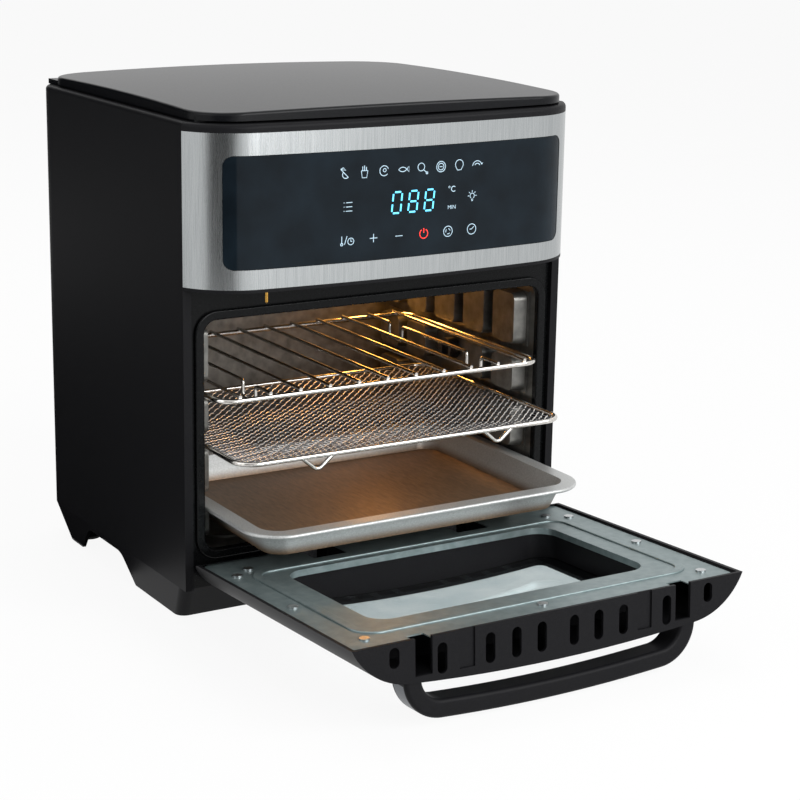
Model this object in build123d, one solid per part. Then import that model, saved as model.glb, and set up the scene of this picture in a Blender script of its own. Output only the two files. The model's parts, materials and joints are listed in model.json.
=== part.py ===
from build123d import *
import os
from math import atan2, cos, sin, sqrt

# A counter-top air-fryer oven of about 12 litres, with its door down and its racks drawn out.
# Millimetres. +X is to the right seen from the front, -Y is the front and +Z is up.
# The origin is on the table, under the middle of the body. The door is drawn shut and then swung open.

# Body shells
BODY_WIDTH = 320.0
BODY_DEPTH = 268.0
FASCIA_DEPTH = 36.0
BASE_HEIGHT = 28.0
SEAM_HEIGHT = 250.0
RIM_HEIGHT = 367.0
REAR_RADIUS = 29.0
HOUSING_WALL = 2.4
RETURN_WIDTH = 6.4
RETURN_DEPTH = 4.0
PANEL_GAP = 0.4
REAR_CORNER_WIDTH = 45.0
REAR_PANEL_WIDTH = BODY_WIDTH - 2 * REAR_CORNER_WIDTH
LAP_WIDTH = 10.0
LAP_THICKNESS = 1.6
LEDGE_WIDTH = 12.0
LEDGE_THICKNESS = 3.0
RIM_ROUND = 3.0
HALF = BODY_WIDTH / 2
Y_FRONT = (FASCIA_DEPTH - BODY_DEPTH) / 2
Y_BACK = Y_FRONT + BODY_DEPTH

# Bowed front of the fascia and the door
BOW_RADIUS = 1300.0
BOW_CORNER = 44.0
BOW_TANGENT = HALF - BOW_CORNER

# Vents in the back
VENT_LENGTH = 44.0
VENT_HEIGHT = 4.0
VENT_PITCH = 9.0
VENT_ROWS = 8
VENT_COLUMN_X = 52.0
LOWER_VENT_Z = 150.0
UPPER_VENT_DROP = 8.5
UPPER_VENT_Z = (SEAM_HEIGHT + RIM_HEIGHT) / 2 - UPPER_VENT_DROP

# Base with its four feet
SKIRT_WALL = 2.6
BASE_FLOOR = 2.5
BASE_SETBACK = 4.0
BASE_FRONT_RADIUS = 8.0
FRONT_TAPER = 16.0
SIDE_TAPER = 4.0
REAR_TAPER = 20.0
SKIRT_LIFT = 1.5
RELIEF_HEIGHT = 5.0
RELIEF_END = 65.0
RELIEF_WIDTH = BODY_WIDTH - 2 * RELIEF_END
ARCH_START = 96.0
ARCH_LENGTH = 106.0
ARCH_HEIGHT = 23.0
ARCH_SLOPE = 22.0
ARCH_ROUND = 14.0
PAD_RADIUS = 9.0
PAD_HEIGHT = 2.0
PAD_BOSS_WALL = 2.0
PAD_SIDE_INSET = 21.0
PAD_FRONT_INSET = 38.0
PAD_REAR_INSET = 40.0

# Fascia
FASCIA_LIP = 2.4
STEEL_STRIP = 6.0
STEEL_TOP = RIM_HEIGHT - STEEL_STRIP
STEEL_THICKNESS = 1.0
CARRIER_WALL = 5.0
CARRIER_SKIN = 3.0
PANEL_SIDE = 20.0
PANEL_WIDTH = BODY_WIDTH - 2 * PANEL_SIDE
PANEL_BELOW = 16.6
PANEL_BOTTOM = SEAM_HEIGHT + PANEL_BELOW
PANEL_ABOVE = 15.7
PANEL_TOP = STEEL_TOP - PANEL_ABOVE
PANEL_CORNER = 7.0
PANEL_THICKNESS = 2.2
PANEL_RECESS = 0.3
PANEL_FIT = 0.3
DISPLAY_WIDTH = 84.0
BOARD_BORDER = 6.35
BOARD_HEIGHT = PANEL_TOP - PANEL_BOTTOM - 2 * BOARD_BORDER
DISPLAY_HEIGHT = BOARD_HEIGHT / 2
BOARD_THICKNESS = 1.6
BOARD_SIDE = 35.0
BOARD_WIDTH = PANEL_WIDTH - 2 * BOARD_SIDE
BOARD_DEPTH = 20.0
BOARD_POST_RADIUS = 3.5
BOARD_POST_SIDE = 13.0
BOARD_POST_X = BOARD_WIDTH / 2 - BOARD_POST_SIDE
BOARD_POST_INSET = 7.0
BOARD_POST_Z = BOARD_HEIGHT / 2 - BOARD_POST_INSET
DISPLAY_DEPTH = 5.0

# Top cover
COVER_INSET = 6.0
COVER_GAP = 1.5
COVER_EDGE = 5.0
COVER_WALL = 2.6
COVER_CROWN_RADIUS = 4200.0
COVER_CORNER = 34.0
COVER_EDGE_ROUND = 2.0
COVER_LIP = 2.0
COVER_LIP_DEPTH = 6.0
COVER_SEAT = 4.0
COVER_FIT = 0.4

# Front frame and cooking chamber
FRAME_SETBACK = 4.0
FRAME_THICKNESS = 2.0
FRAME_SIDE_FIT = 0.4
FRAME_SIDE = 17.0
MOUTH_WIDTH = BODY_WIDTH - 2 * FRAME_SIDE
MOUTH_BOTTOM = 56.0
FRAME_TOP = 24.0
MOUTH_TOP = SEAM_HEIGHT - FRAME_TOP
MOUTH_CORNER = 10.0
FRAME_LIP_WIDTH = 7.0
FRAME_LIP_HEIGHT = 3.0
FRAME_LIP_ROUND = 1.4
LINER_PAST_MOUTH = 1.0
LINER_WIDTH = MOUTH_WIDTH + 2 * LINER_PAST_MOUTH
LINER_FLOOR_Z = 56.0
LINER_ABOVE_MOUTH = 4.0
LINER_CEILING_Z = MOUTH_TOP + LINER_ABOVE_MOUTH
REAR_SPACE = 36.0
LINER_DEPTH = BODY_DEPTH - FRAME_SETBACK - FRAME_THICKNESS - REAR_SPACE
LINER_SHEET = 0.8
FLOOR_BEAD_INSET = 16.0
FLOOR_BEAD_WIDTH = 5.0
FLOOR_BEAD_HEIGHT = 1.4
FLOOR_BEAD_CORNER = 18.0
LINER_HALF = LINER_WIDTH / 2
FRAME_FACE = Y_FRONT + FRAME_SETBACK
LINER_FRONT = FRAME_FACE + FRAME_THICKNESS
LINER_BACK = LINER_FRONT + LINER_DEPTH

# Wire rack, mesh basket and drip tray
RACK_Z = 169.0
RACK_OUT = 15.0
RACK_FRONT = Y_FRONT - RACK_OUT
RACK_BACK_ROOM = 25.0
RACK_DEPTH = LINER_DEPTH - RACK_BACK_ROOM
RACK_SIDE_FIT = 5.5
RACK_WIDTH = LINER_WIDTH - 2 * RACK_SIDE_FIT
RACK_CORNER = 14.0
RACK_RIM_WIRE = 4.0
RACK_WIRE = 2.6
RACK_WIRES = 11
RACK_END_SPACE = 16.5
RACK_PITCH = (RACK_WIDTH - 2 * RACK_END_SPACE) / (RACK_WIRES - 1)
RACK_WELD = 0.5
DIP_WIRE = 1
DIP_DEPTH = 12.0
DIP_LENGTH = 20.0
DIP_ROUND = 3.0
DIP_FRONT_INSET = 24.0
DIP_REAR_INSET = 36.0
BASKET_Z = 131.0
BASKET_OUT = 47.0
BASKET_FRONT = Y_FRONT - BASKET_OUT
BASKET_BACK_ROOM = 23.0
BASKET_DEPTH = LINER_DEPTH - BASKET_BACK_ROOM
BASKET_SIDE_FIT = 5.0
BASKET_WIDTH = LINER_WIDTH - 2 * BASKET_SIDE_FIT
BASKET_CORNER = 16.0
BASKET_RIM_WIRE = 3.6
BASKET_FOOT_WIRE = 3.0
BASKET_FOOT_INSET = 62.0
BASKET_FOOT_X = BASKET_WIDTH / 2 - BASKET_FOOT_INSET
BASKET_FOOT_SPAN = 26.0
BASKET_FOOT_DROP = 11.0
BASKET_FOOT_ROUND = 5.0
MESH_SHEET = 1.0
MESH_COLUMNS = 16
MESH_ROWS = 10
MESH_MARGIN = 7.0
MESH_STRAND = 2.2
TRAY_Z = 87.5
TRAY_OUT = 80.0
TRAY_FRONT = Y_FRONT - TRAY_OUT
TRAY_BACK_ROOM = 8.0
TRAY_DEPTH = LINER_DEPTH - TRAY_BACK_ROOM
TRAY_SIDE_FIT = 3.5
TRAY_WIDTH = LINER_WIDTH - 2 * TRAY_SIDE_FIT
TRAY_CORNER = 28.0
TRAY_SHEET = 1.0
TRAY_ROLL = 3.0
TRAY_FLANGE = 12.0
TRAY_SLOPE = 7.0
TRAY_HOLLOW = 19.0
TRAY_FLOOR_CORNER = 14.0
RUNNING_GAP = 0.3

# Pressed guides on the chamber's sides
GUIDE_SHEET = 1.2
GUIDE_DEPTH = 12.0
GUIDE_SLOT = 8.0
GUIDE_HEADROOM = 12.0
GUIDE_TOP = LINER_CEILING_Z - GUIDE_HEADROOM
GUIDE_BOTTOM = 59.0
POCKETS = 5
GUIDE_ROOM = 5.5
POCKET_GAP = 10.0
POCKET_PITCH = (LINER_DEPTH - 2 * GUIDE_ROOM) / POCKETS
POCKET_LENGTH = POCKET_PITCH - POCKET_GAP
POCKET_CORNER = 7.0
POCKET_DRAFT = 8.0
GUIDE_END = 3.0
DRIVE_POCKET = 2
DRIVE_ROW = 1

# Heater, fans and motor above the chamber
FAN_HOLE = LINER_WIDTH / 3
GUARD_RIM = 8.0
GUARD_RADIUS = FAN_HOLE + GUARD_RIM
GUARD_DISH = 4.0
GUARD_SHEET = 1.0
GUARD_RINGS = 4
GUARD_FIRST_RING = 22.0
GUARD_BORDER = 17.0
GUARD_RING_PITCH = (FAN_HOLE - GUARD_BORDER - GUARD_FIRST_RING) / (GUARD_RINGS - 1)
GUARD_SLOTS = 12
GUARD_SLOT_LENGTH = 14.0
GUARD_SLOT_WIDTH = 4.0
SHROUD_HEIGHT = 36.0
SHROUD_SHEET = 0.8
SHROUD_FLANGE = 8.0
SHAFT_HOLE = 8.0
HEATER_TUBE = 7.0
HEATER_LIFT = 10.0
HEATER_INSET = 32.0
HEATER_RADIUS = FAN_HOLE - HEATER_INSET
HEATER_PITCH = 14.0
HEATER_HALF_TURNS = 3
FAN_INSET = 40.0
FAN_RADIUS = FAN_HOLE - FAN_INSET
FAN_HUB = 11.0
FAN_DISC = 1.2
FAN_BLADES = 12
FAN_BLADE_HEIGHT = 12.0
FAN_BLADE_THICKNESS = 1.2
FAN_BLADE_ROOT = 1.0
FAN_CLEARANCE = 5.0
SHAFT_RADIUS = 4.0
SHAFT_END = 4.0
SHAFT_FIT = 0.1
COOLER_PAST_FAN = 2.0
COOLER_RADIUS = FAN_RADIUS + COOLER_PAST_FAN
COOLER_BLADES = 9
COOLER_HEIGHT = 11.0
COOLER_CLEARANCE = 5.0
BRACKET_SHEET = 2.0
BRACKET_SIDE = 26.0
BRACKET_LENGTH = LINER_WIDTH - 2 * BRACKET_SIDE
BRACKET_WIDTH = 62.0
BRACKET_HEIGHT = 62.0
BRACKET_FOOT = 14.0
MOTOR_WIDTH = 58.0
MOTOR_DEPTH = 46.0
MOTOR_HEIGHT = 32.0
MOTOR_COIL_RADIUS = 15.0
MOTOR_COIL_LENGTH = 66.0

# Lamp in the chamber's ceiling
LAMP_SIDE_INSET = 32.0
LAMP_REAR_INSET = 42.0
LAMP_X = LINER_HALF - LAMP_SIDE_INSET
LAMP_Y = LINER_BACK - LAMP_REAR_INSET
LAMP_HOLE = 15.0
LAMP_FLANGE = 19.0
LAMP_GLASS = 1.8
LAMP_DOME = 9.0
LAMP_CAN_HEIGHT = 34.0
LAMP_CAN_WALL = 1.5
BULB_RADIUS = 7.0
BULB_LENGTH = 20.0
BULB_BASE = 5.0

# Spit drive, spit rest and probe
DRIVE_SOCKET = 9.0
DRIVE_SOCKET_BORE = 5.0
DRIVE_SOCKET_LENGTH = 9.0
DRIVE_SHAFT = 3.5
DRIVE_FIT = 0.2
DRIVE_STANDOFF = 0.6
SPIT_MOTOR_RADIUS = 23.0
SPIT_MOTOR_DEPTH = 11.0
REST_WIDTH = 26.0
REST_HEIGHT = 24.0
REST_SLOT = 9.0
PROBE_SIDE_INSET = 40.0
PROBE_X = PROBE_SIDE_INSET - LINER_HALF
PROBE_Z = 205.0
PROBE_RADIUS = 2.4
PROBE_LENGTH = 26.0
PROBE_REACH = 16.0
PROBE_NUT = 5.5
PROBE_NUT_LENGTH = 5.0

# Power board on the back of the upper housing
POWER_WIDTH = 150.0
POWER_BORDER = 21.5
POWER_HEIGHT = RIM_HEIGHT - SEAM_HEIGHT - 2 * POWER_BORDER
POWER_RISE = 3.5
POWER_Z = (SEAM_HEIGHT + RIM_HEIGHT) / 2 + POWER_RISE
POWER_STANDOFF = 9.0
POWER_POST_RADIUS = 4.0
POWER_POST_INSET = 8.0
# Each block on the board: its place across, width, height and depth
POWER_BLOCKS = ((-48, 30, 26, 22), (-12, 24, 18, 15), (16, 20, 20, 16), (46, 26, 34, 12))

# Door
DOOR_SIDE_GAP = 1.5
DOOR_WIDTH = BODY_WIDTH - 2 * DOOR_SIDE_GAP
DOOR_BOTTOM = 19.0
DOOR_TOP_GAP = 1.5
DOOR_TOP = SEAM_HEIGHT - DOOR_TOP_GAP
DOOR_GAP = 1.5
DOOR_WALL = 2.5
DOOR_OPEN = 87.0
DOOR_TOE_ROUND = 10.0
DOOR_HEEL_ROUND = 9.0
PIVOT_SETBACK = 21.5
PIVOT_Z = 32.5
WINDOW_SIDE = 45.5
WINDOW_WIDTH = DOOR_WIDTH - 2 * WINDOW_SIDE
WINDOW_BOTTOM = 71.0
WINDOW_ABOVE = 47.5
WINDOW_TOP = DOOR_TOP - WINDOW_ABOVE
WINDOW_CORNER = 16.0
WINDOW_BORDER = 9.0
COLLAR_FIT = 1.0
COLLAR_WALL = 2.5
GLASS_THICKNESS = 3.0
GLASS_FIT = 0.3
INNER_SETBACK = 1.5
INNER_SHEET = 0.8
INNER_FIT = 0.4
INNER_CORNER = 6.0
INNER_HEM = 4.0
RIB_WIDTH = 7.0
RIB_HEIGHT = 1.1
RIB_ROUND = 0.88
RIB_INSET = 22.5
RIB_HALF = DOOR_WIDTH / 2 - RIB_INSET
RIB_BOTTOM = 57.0
RIB_ABOVE = 25.5
RIB_TOP = DOOR_TOP - RIB_ABOVE
RIB_CORNER = 18.0
SCREW_HEAD = 3.6
SCREW_HEAD_HEIGHT = 1.2
SCREW_SHANK = 1.6
SCREW_LENGTH = 7.0
BOSS_RADIUS = 4.5
# Each screw of one side: its distance in from the door's side, and its height
DOOR_SCREWS = ((15.5, 61.0), (14.5, 145.0), (21.5, 228.0), (29.5, 50.0))
TOP_SCREW_DROP = 18.5
SLOT_WIDTH = 7.5
SLOT_LENGTH = 21.0
# Places along the door's top edge, as shares of its width
SLOT_SHARES = (0.0413, 0.105, 0.1703, 0.2871)
SLOT_SETBACK = 18.0
END_SLOT_SHARE = 0.4006
END_SLOT_LENGTH = 14.0
END_SLOT_SETBACK = 11.5
CLIP_SHARE = 0.2271
CLIP_WIDTH = 12.0
CLIP_DEPTH = 1.4
CLIP_LENGTH = 28.0
CATCH_SHARE = 0.33123
CATCH_X = DOOR_WIDTH * CATCH_SHARE
CATCH_WIDTH = 13.0
CATCH_DEPTH = 11.5
CATCH_LENGTH = 27.0

# Hinges
HINGE_INSET = 96.5
HINGE_X = DOOR_WIDTH / 2 - HINGE_INSET
NOTCH_WIDTH = 28.0
NOTCH_TOP = 51.0
NOTCH_PAST = 8.0
HINGE_BLOCK_WALL = 6.0
HINGE_BLOCK_TOP = 6.0
PIN_RADIUS = 2.5
PIN_FIT = 0.06
ARM_THICKNESS = 4.0
ARM_EYE = 6.0
ARM_HEIGHT = 10.0
ARM_FOOT_WIDTH = 22.0
ARM_FOOT_HEIGHT = 20.0
ARM_FOOT = 2.0

# Handle
HANDLE_REACH = 27.0
HANDLE_END = 40.5
HANDLE_WIDTH = DOOR_WIDTH - 2 * HANDLE_END
HANDLE_BAR = 13.0
HANDLE_HEIGHT = 20.0
HANDLE_DROP = 1.5
HANDLE_CORNER = 30.0
HANDLE_ROUND = 3.0
TRIM_WIDTH = 13.0
TRIM_THICKNESS = 1.0
TRIM_START = 34.0

# Door switch, cord gland and housing screws
PLUNGER_SETBACK = 20.0
PLUNGER_RADIUS = 2.5
PLUNGER_DROP = 10.0
PLUNGER_FIT = 0.2
PLUNGER_HEAD = 3.6
PLUNGER_STROKE = 3.0
SWITCH_WIDTH = 22.0
SWITCH_DEPTH = 11.0
SWITCH_HEIGHT = 18.0
GLAND_X = -70.0
GLAND_Z = 52.0
GLAND_RADIUS = 8.0
GLAND_BORE = 3.6
GLAND_LENGTH = 16.0
GLAND_COLLAR = 11.0
GLAND_COLLAR_LENGTH = 3.0
REAR_SCREW_INSET = 5.0
REAR_SCREW_X = REAR_PANEL_WIDTH / 2 - REAR_SCREW_INSET
REAR_SCREW_Z = (44.0, 139.0, 234.0)

# Places that follow from the sizes above
PIVOT_Y = Y_FRONT - PIVOT_SETBACK
DOOR_INNER = Y_FRONT - DOOR_GAP
INNER_FACE = DOOR_INNER - INNER_SETBACK
CEILING_TOP = LINER_CEILING_Z + LINER_SHEET
SHROUD_TOP = CEILING_TOP + SHROUD_HEIGHT
FAN_Z = SHROUD_TOP - SHROUD_SHEET - FAN_CLEARANCE
COOLER_Z = SHROUD_TOP + COOLER_CLEARANCE
BRACKET_TOP = CEILING_TOP + BRACKET_HEIGHT
RACK_REST = RACK_Z - RACK_RIM_WIRE / 2 - RUNNING_GAP
BASKET_REST = BASKET_Z - BASKET_RIM_WIRE / 2 - RUNNING_GAP
TRAY_REST = TRAY_Z - TRAY_ROLL - RUNNING_GAP
GUIDE_ROWS = (
    (RACK_REST + GUIDE_SLOT, GUIDE_TOP),
    (BASKET_REST + GUIDE_SLOT, RACK_REST),
    (TRAY_REST + GUIDE_SLOT, BASKET_REST),
    (GUIDE_BOTTOM, TRAY_REST),
)
FAN_Y = (LINER_FRONT + LINER_BACK) / 2
DRIVE_Z = (GUIDE_ROWS[DRIVE_ROW][0] + GUIDE_ROWS[DRIVE_ROW][1]) / 2
DRIVE_Y = FAN_Y + (DRIVE_POCKET - (POCKETS - 1) / 2) * POCKET_PITCH


# Helpers
def block(x0, x1, y0, y1, z0, z1):
    return Pos((x0 + x1) / 2, (y0 + y1) / 2, (z0 + z1) / 2) * Box(x1 - x0, y1 - y0, z1 - z0)


def prism_x(sketch, x0, x1):
    """A sketch drawn in Y and Z, from x0 to x1."""
    return extrude(Plane.YZ.offset(x0) * sketch, x1 - x0)


def prism_y(sketch, y0, y1):
    """A sketch drawn in X and Z, from y0 back to y1."""
    return extrude(Plane.XZ.offset(-y1) * sketch, y1 - y0)


def prism_z(sketch, z0, z1):
    """A sketch drawn in X and Y, from z0 up to z1."""
    return extrude(Plane.XY.offset(z0) * sketch, z1 - z0)


def rod_x(y, z, radius, x0, x1):
    return prism_x(Pos(y, z) * Circle(radius), x0, x1)


def rod_y(x, z, radius, y0, y1):
    return prism_y(Pos(x, z) * Circle(radius), y0, y1)


def rod_z(x, y, radius, z0, z1):
    return prism_z(Pos(x, y) * Circle(radius), z0, z1)


def window(width, z0, z1, corner):
    """A rounded opening in X and Z."""
    return Pos(0, (z0 + z1) / 2) * RectangleRounded(width, z1 - z0, corner)


def pair(part):
    return part + mirror(part, about=Plane.YZ)


def wire(path, diameter):
    return sweep(Plane(path @ 0, z_dir=path % 0) * Circle(diameter / 2), path=path)


def wire_rim(width, front, depth, z, corner, diameter):
    """A closed rim of round wire, as wide as given over its outer sides."""
    half = (width - diameter) / 2
    y0 = front + diameter / 2
    y1 = front + depth - diameter / 2
    side = FilletPolyline((0, y0, z), (half, y0, z), (half, y1, z), (0, y1, z), radius=corner)
    return pair(wire(side, diameter))


def swing_open(part):
    """Turns a door piece from shut to its open stop."""
    return Pos(0, PIVOT_Y, PIVOT_Z) * Rot(DOOR_OPEN, 0, 0) * Pos(0, -PIVOT_Y, -PIVOT_Z) * part


# Bowed plan of the front
def bow_face(width, inset=0.0):
    """From the front plane forwards: a wide shallow arc with a tangent arc at each corner."""
    centre_y = Y_FRONT - FASCIA_DEPTH + BOW_RADIUS
    tangent = Vector(BOW_TANGENT, centre_y - sqrt(BOW_RADIUS**2 - BOW_TANGENT**2))
    normal = (tangent - Vector(0, centre_y)).normalized()
    chord = Vector(width / 2, Y_FRONT) - tangent
    corner_radius = -chord.length**2 / (2 * chord.dot(normal))
    corner = tangent - normal * corner_radius
    radius = corner_radius - inset
    end = Vector(corner.X + sqrt(radius**2 - (Y_FRONT - corner.Y) ** 2), Y_FRONT)
    start_angle = atan2(normal.Y, normal.X)
    end_angle = atan2(end.Y - corner.Y, end.X - corner.X)
    mid_angle = (start_angle + end_angle) / 2
    middle = corner + Vector(cos(mid_angle), sin(mid_angle)) * radius
    start = tangent - normal * inset
    right = ThreePointArc(end, middle, start)
    front = ThreePointArc(start, (0, Y_FRONT - FASCIA_DEPTH + inset), (-start.X, start.Y))
    left = ThreePointArc((-start.X, start.Y), (-middle.X, middle.Y), (-end.X, end.Y))
    back = Line((-end.X, end.Y), end)
    return make_face([right, front, left, back])


def bow(width, inset, z0, z1):
    return prism_z(bow_face(width, inset), z0, z1)


# Base
def base_outline(z, wall=0.0):
    """The skirt's plan at a height: it draws in towards the table."""
    share = (BASE_HEIGHT - z) / (BASE_HEIGHT - SKIRT_LIFT)
    half = HALF - SIDE_TAPER * share - wall
    y0 = Y_FRONT + BASE_SETBACK + FRONT_TAPER * share + wall
    y1 = Y_BACK - REAR_TAPER * share - wall
    outline = Pos(0, (y0 + y1) / 2) * Rectangle(2 * half, y1 - y0)
    outline = fillet(outline.vertices().group_by(Axis.Y)[0], BASE_FRONT_RADIUS - wall)
    outline = fillet(outline.vertices().group_by(Axis.Y)[-1], REAR_RADIUS - wall)
    return Plane.XY.offset(z) * outline


def pad_places():
    x = HALF - PAD_SIDE_INSET
    front = Y_FRONT + PAD_FRONT_INSET
    rear = Y_BACK - PAD_REAR_INSET
    return [(sx * x, y) for sx in (-1, 1) for y in (front, rear)]


def base_tray():
    ceiling = BASE_HEIGHT - BASE_FLOOR
    tray = loft([base_outline(SKIRT_LIFT), base_outline(BASE_HEIGHT)])
    tray -= loft([base_outline(SKIRT_LIFT, SKIRT_WALL), base_outline(ceiling, SKIRT_WALL)])
    y0 = Y_FRONT + ARCH_START
    y1 = y0 + ARCH_LENGTH
    corners = [(y0, 0), (y0 + ARCH_SLOPE, ARCH_HEIGHT), (y1 - ARCH_SLOPE, ARCH_HEIGHT), (y1, 0)]
    arch = make_face(Polyline(*corners, close=True))
    arch = fillet(arch.vertices().group_by(Axis.Y)[-1], ARCH_ROUND)
    tray -= prism_x(arch, -HALF, HALF)
    tray -= block(-RELIEF_WIDTH / 2, RELIEF_WIDTH / 2, Y_FRONT, Y_BACK, 0, RELIEF_HEIGHT)
    for x, y in pad_places():
        tray += rod_z(x, y, PAD_RADIUS + PAD_BOSS_WALL, PAD_HEIGHT, ceiling)
    return tray


def foot_pads():
    return [rod_z(x, y, PAD_RADIUS, 0, PAD_HEIGHT) for x, y in pad_places()]


# Lower and upper housing
def footprint(inset=0.0):
    """Plan of the housing: square at the front, rounded at the back."""
    half = HALF - inset
    y1 = Y_BACK - inset
    outline = Pos(0, (Y_FRONT + y1) / 2) * Rectangle(2 * half, y1 - Y_FRONT)
    return fillet(outline.vertices().group_by(Axis.Y)[-1], REAR_RADIUS - inset)


def side_panel():
    wall = prism_z(footprint() - footprint(HOUSING_WALL), BASE_HEIGHT, SEAM_HEIGHT)
    wall &= block(REAR_PANEL_WIDTH / 2, HALF, Y_FRONT, Y_BACK, BASE_HEIGHT, SEAM_HEIGHT)
    x0 = HALF - RETURN_WIDTH
    wall += block(x0, HALF, Y_FRONT, Y_FRONT + RETURN_DEPTH, BASE_HEIGHT, SEAM_HEIGHT)
    return wall


def vents(z_middle):
    """Two columns of slots through the back wall."""
    slots = []
    for row in range(VENT_ROWS):
        z = z_middle + (row - (VENT_ROWS - 1) / 2) * VENT_PITCH
        for x in (-VENT_COLUMN_X, VENT_COLUMN_X):
            slot = Pos(x, z) * SlotOverall(VENT_LENGTH, VENT_HEIGHT)
            slots.append(prism_y(slot, Y_BACK - HOUSING_WALL, Y_BACK))
    return slots


def rear_panel():
    half = REAR_PANEL_WIDTH / 2
    inside = Y_BACK - HOUSING_WALL
    panel = block(-half + PANEL_GAP, half - PANEL_GAP, inside, Y_BACK, BASE_HEIGHT, SEAM_HEIGHT)
    lap = block(half - LAP_WIDTH, half + LAP_WIDTH, inside - LAP_THICKNESS, inside, BASE_HEIGHT, SEAM_HEIGHT)
    panel = panel + pair(lap)
    panel -= vents(LOWER_VENT_Z)
    panel -= rod_y(GLAND_X, GLAND_Z, GLAND_RADIUS, inside, Y_BACK)
    for x, z in rear_screw_places():
        panel -= rod_y(x, z, SCREW_SHANK, inside - LAP_THICKNESS, Y_BACK)
    return panel


def rear_screw_places():
    return [(sx * REAR_SCREW_X, z) for sx in (-1, 1) for z in REAR_SCREW_Z]


def rear_screws():
    screws = []
    for x, z in rear_screw_places():
        head = rod_y(x, z, SCREW_HEAD, Y_BACK, Y_BACK + SCREW_HEAD_HEIGHT)
        screws.append(head + rod_y(x, z, SCREW_SHANK, Y_BACK - SCREW_LENGTH, Y_BACK))
    return screws


def rounded_top(solid):
    """Rounds the upper edge all round, apart from the edge on the front plane."""
    top = solid.faces().sort_by(Axis.Z)[-1]
    edges = [e for e in top.edges() if abs(e.center().Y - Y_FRONT) > RIM_ROUND]
    return fillet(edges, RIM_ROUND)


def ledge_opening():
    half = HALF - LEDGE_WIDTH
    return half, Y_BACK - LEDGE_WIDTH


def upper_housing():
    shell = rounded_top(prism_z(footprint(), SEAM_HEIGHT, RIM_HEIGHT))
    shell -= prism_z(footprint(HOUSING_WALL), SEAM_HEIGHT, RIM_HEIGHT - LEDGE_THICKNESS)
    half, rear = ledge_opening()
    shell -= block(-half, half, Y_FRONT, rear, SEAM_HEIGHT, RIM_HEIGHT)
    shell -= vents(UPPER_VENT_Z)
    inside = Y_BACK - HOUSING_WALL
    for x, z in power_post_places():
        shell += rod_y(x, z, POWER_POST_RADIUS, inside - POWER_STANDOFF, inside)
    return shell


# Fascia
def panel_outline(fit=0.0):
    width = PANEL_WIDTH + 2 * fit
    return window(width, PANEL_BOTTOM - fit, PANEL_TOP + fit, PANEL_CORNER + fit)


def steel_fascia():
    bottom = SEAM_HEIGHT + FASCIA_LIP
    band = bow(BODY_WIDTH, 0, bottom, STEEL_TOP) - bow(BODY_WIDTH, STEEL_THICKNESS, bottom, STEEL_TOP)
    return band - prism_y(panel_outline(PANEL_FIT), Y_FRONT - FASCIA_DEPTH, Y_FRONT)


def control_panel():
    back = PANEL_RECESS + PANEL_THICKNESS
    lens = bow(BODY_WIDTH, PANEL_RECESS, PANEL_BOTTOM, PANEL_TOP)
    lens -= bow(BODY_WIDTH, back, PANEL_BOTTOM, PANEL_TOP)
    return lens & prism_y(panel_outline(), Y_FRONT - FASCIA_DEPTH, Y_FRONT)


def board_post_places():
    middle = (PANEL_BOTTOM + PANEL_TOP) / 2
    return [(sx * BOARD_POST_X, middle + sz * BOARD_POST_Z) for sx in (-1, 1) for sz in (-1, 1)]


def fascia_carrier():
    carrier = rounded_top(bow(BODY_WIDTH, 0, SEAM_HEIGHT, RIM_HEIGHT))
    bottom = SEAM_HEIGHT + FASCIA_LIP
    carrier -= bow(BODY_WIDTH, 0, bottom, STEEL_TOP) - bow(BODY_WIDTH, STEEL_THICKNESS, bottom, STEEL_TOP)
    carrier -= bow(BODY_WIDTH, CARRIER_WALL, SEAM_HEIGHT + CARRIER_SKIN, RIM_HEIGHT - CARRIER_SKIN)
    seat = bow(BODY_WIDTH, 0, PANEL_BOTTOM - PANEL_FIT, PANEL_TOP + PANEL_FIT)
    seat -= bow(BODY_WIDTH, PANEL_RECESS + PANEL_THICKNESS, PANEL_BOTTOM - PANEL_FIT, PANEL_TOP + PANEL_FIT)
    carrier -= seat & prism_y(panel_outline(PANEL_FIT), Y_FRONT - FASCIA_DEPTH, Y_FRONT)
    board = Y_FRONT - BOARD_DEPTH - BOARD_THICKNESS
    behind_panel = bow(BODY_WIDTH, PANEL_RECESS + PANEL_THICKNESS, PANEL_BOTTOM, PANEL_TOP)
    for x, z in board_post_places():
        carrier += rod_y(x, z, BOARD_POST_RADIUS, Y_FRONT - FASCIA_DEPTH, board) & behind_panel
    middle = (PANEL_BOTTOM + PANEL_TOP) / 2
    display = Pos(0, middle) * Rectangle(DISPLAY_WIDTH + 2 * PANEL_FIT, DISPLAY_HEIGHT + 2 * PANEL_FIT)
    carrier -= prism_y(display, Y_FRONT - FASCIA_DEPTH, board)
    x, y = -CATCH_X, Y_FRONT - PLUNGER_SETBACK
    carrier -= rod_z(x, y, PLUNGER_RADIUS + PLUNGER_FIT, SEAM_HEIGHT, SEAM_HEIGHT + CARRIER_SKIN)
    return carrier


def display_board():
    back = Y_FRONT - BOARD_DEPTH
    front = back - BOARD_THICKNESS
    middle = (PANEL_BOTTOM + PANEL_TOP) / 2
    board = prism_y(Pos(0, middle) * Rectangle(BOARD_WIDTH, BOARD_HEIGHT), front, back)
    display = Pos(0, middle) * Rectangle(DISPLAY_WIDTH, DISPLAY_HEIGHT)
    return board + prism_y(display, front - DISPLAY_DEPTH, front)


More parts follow.
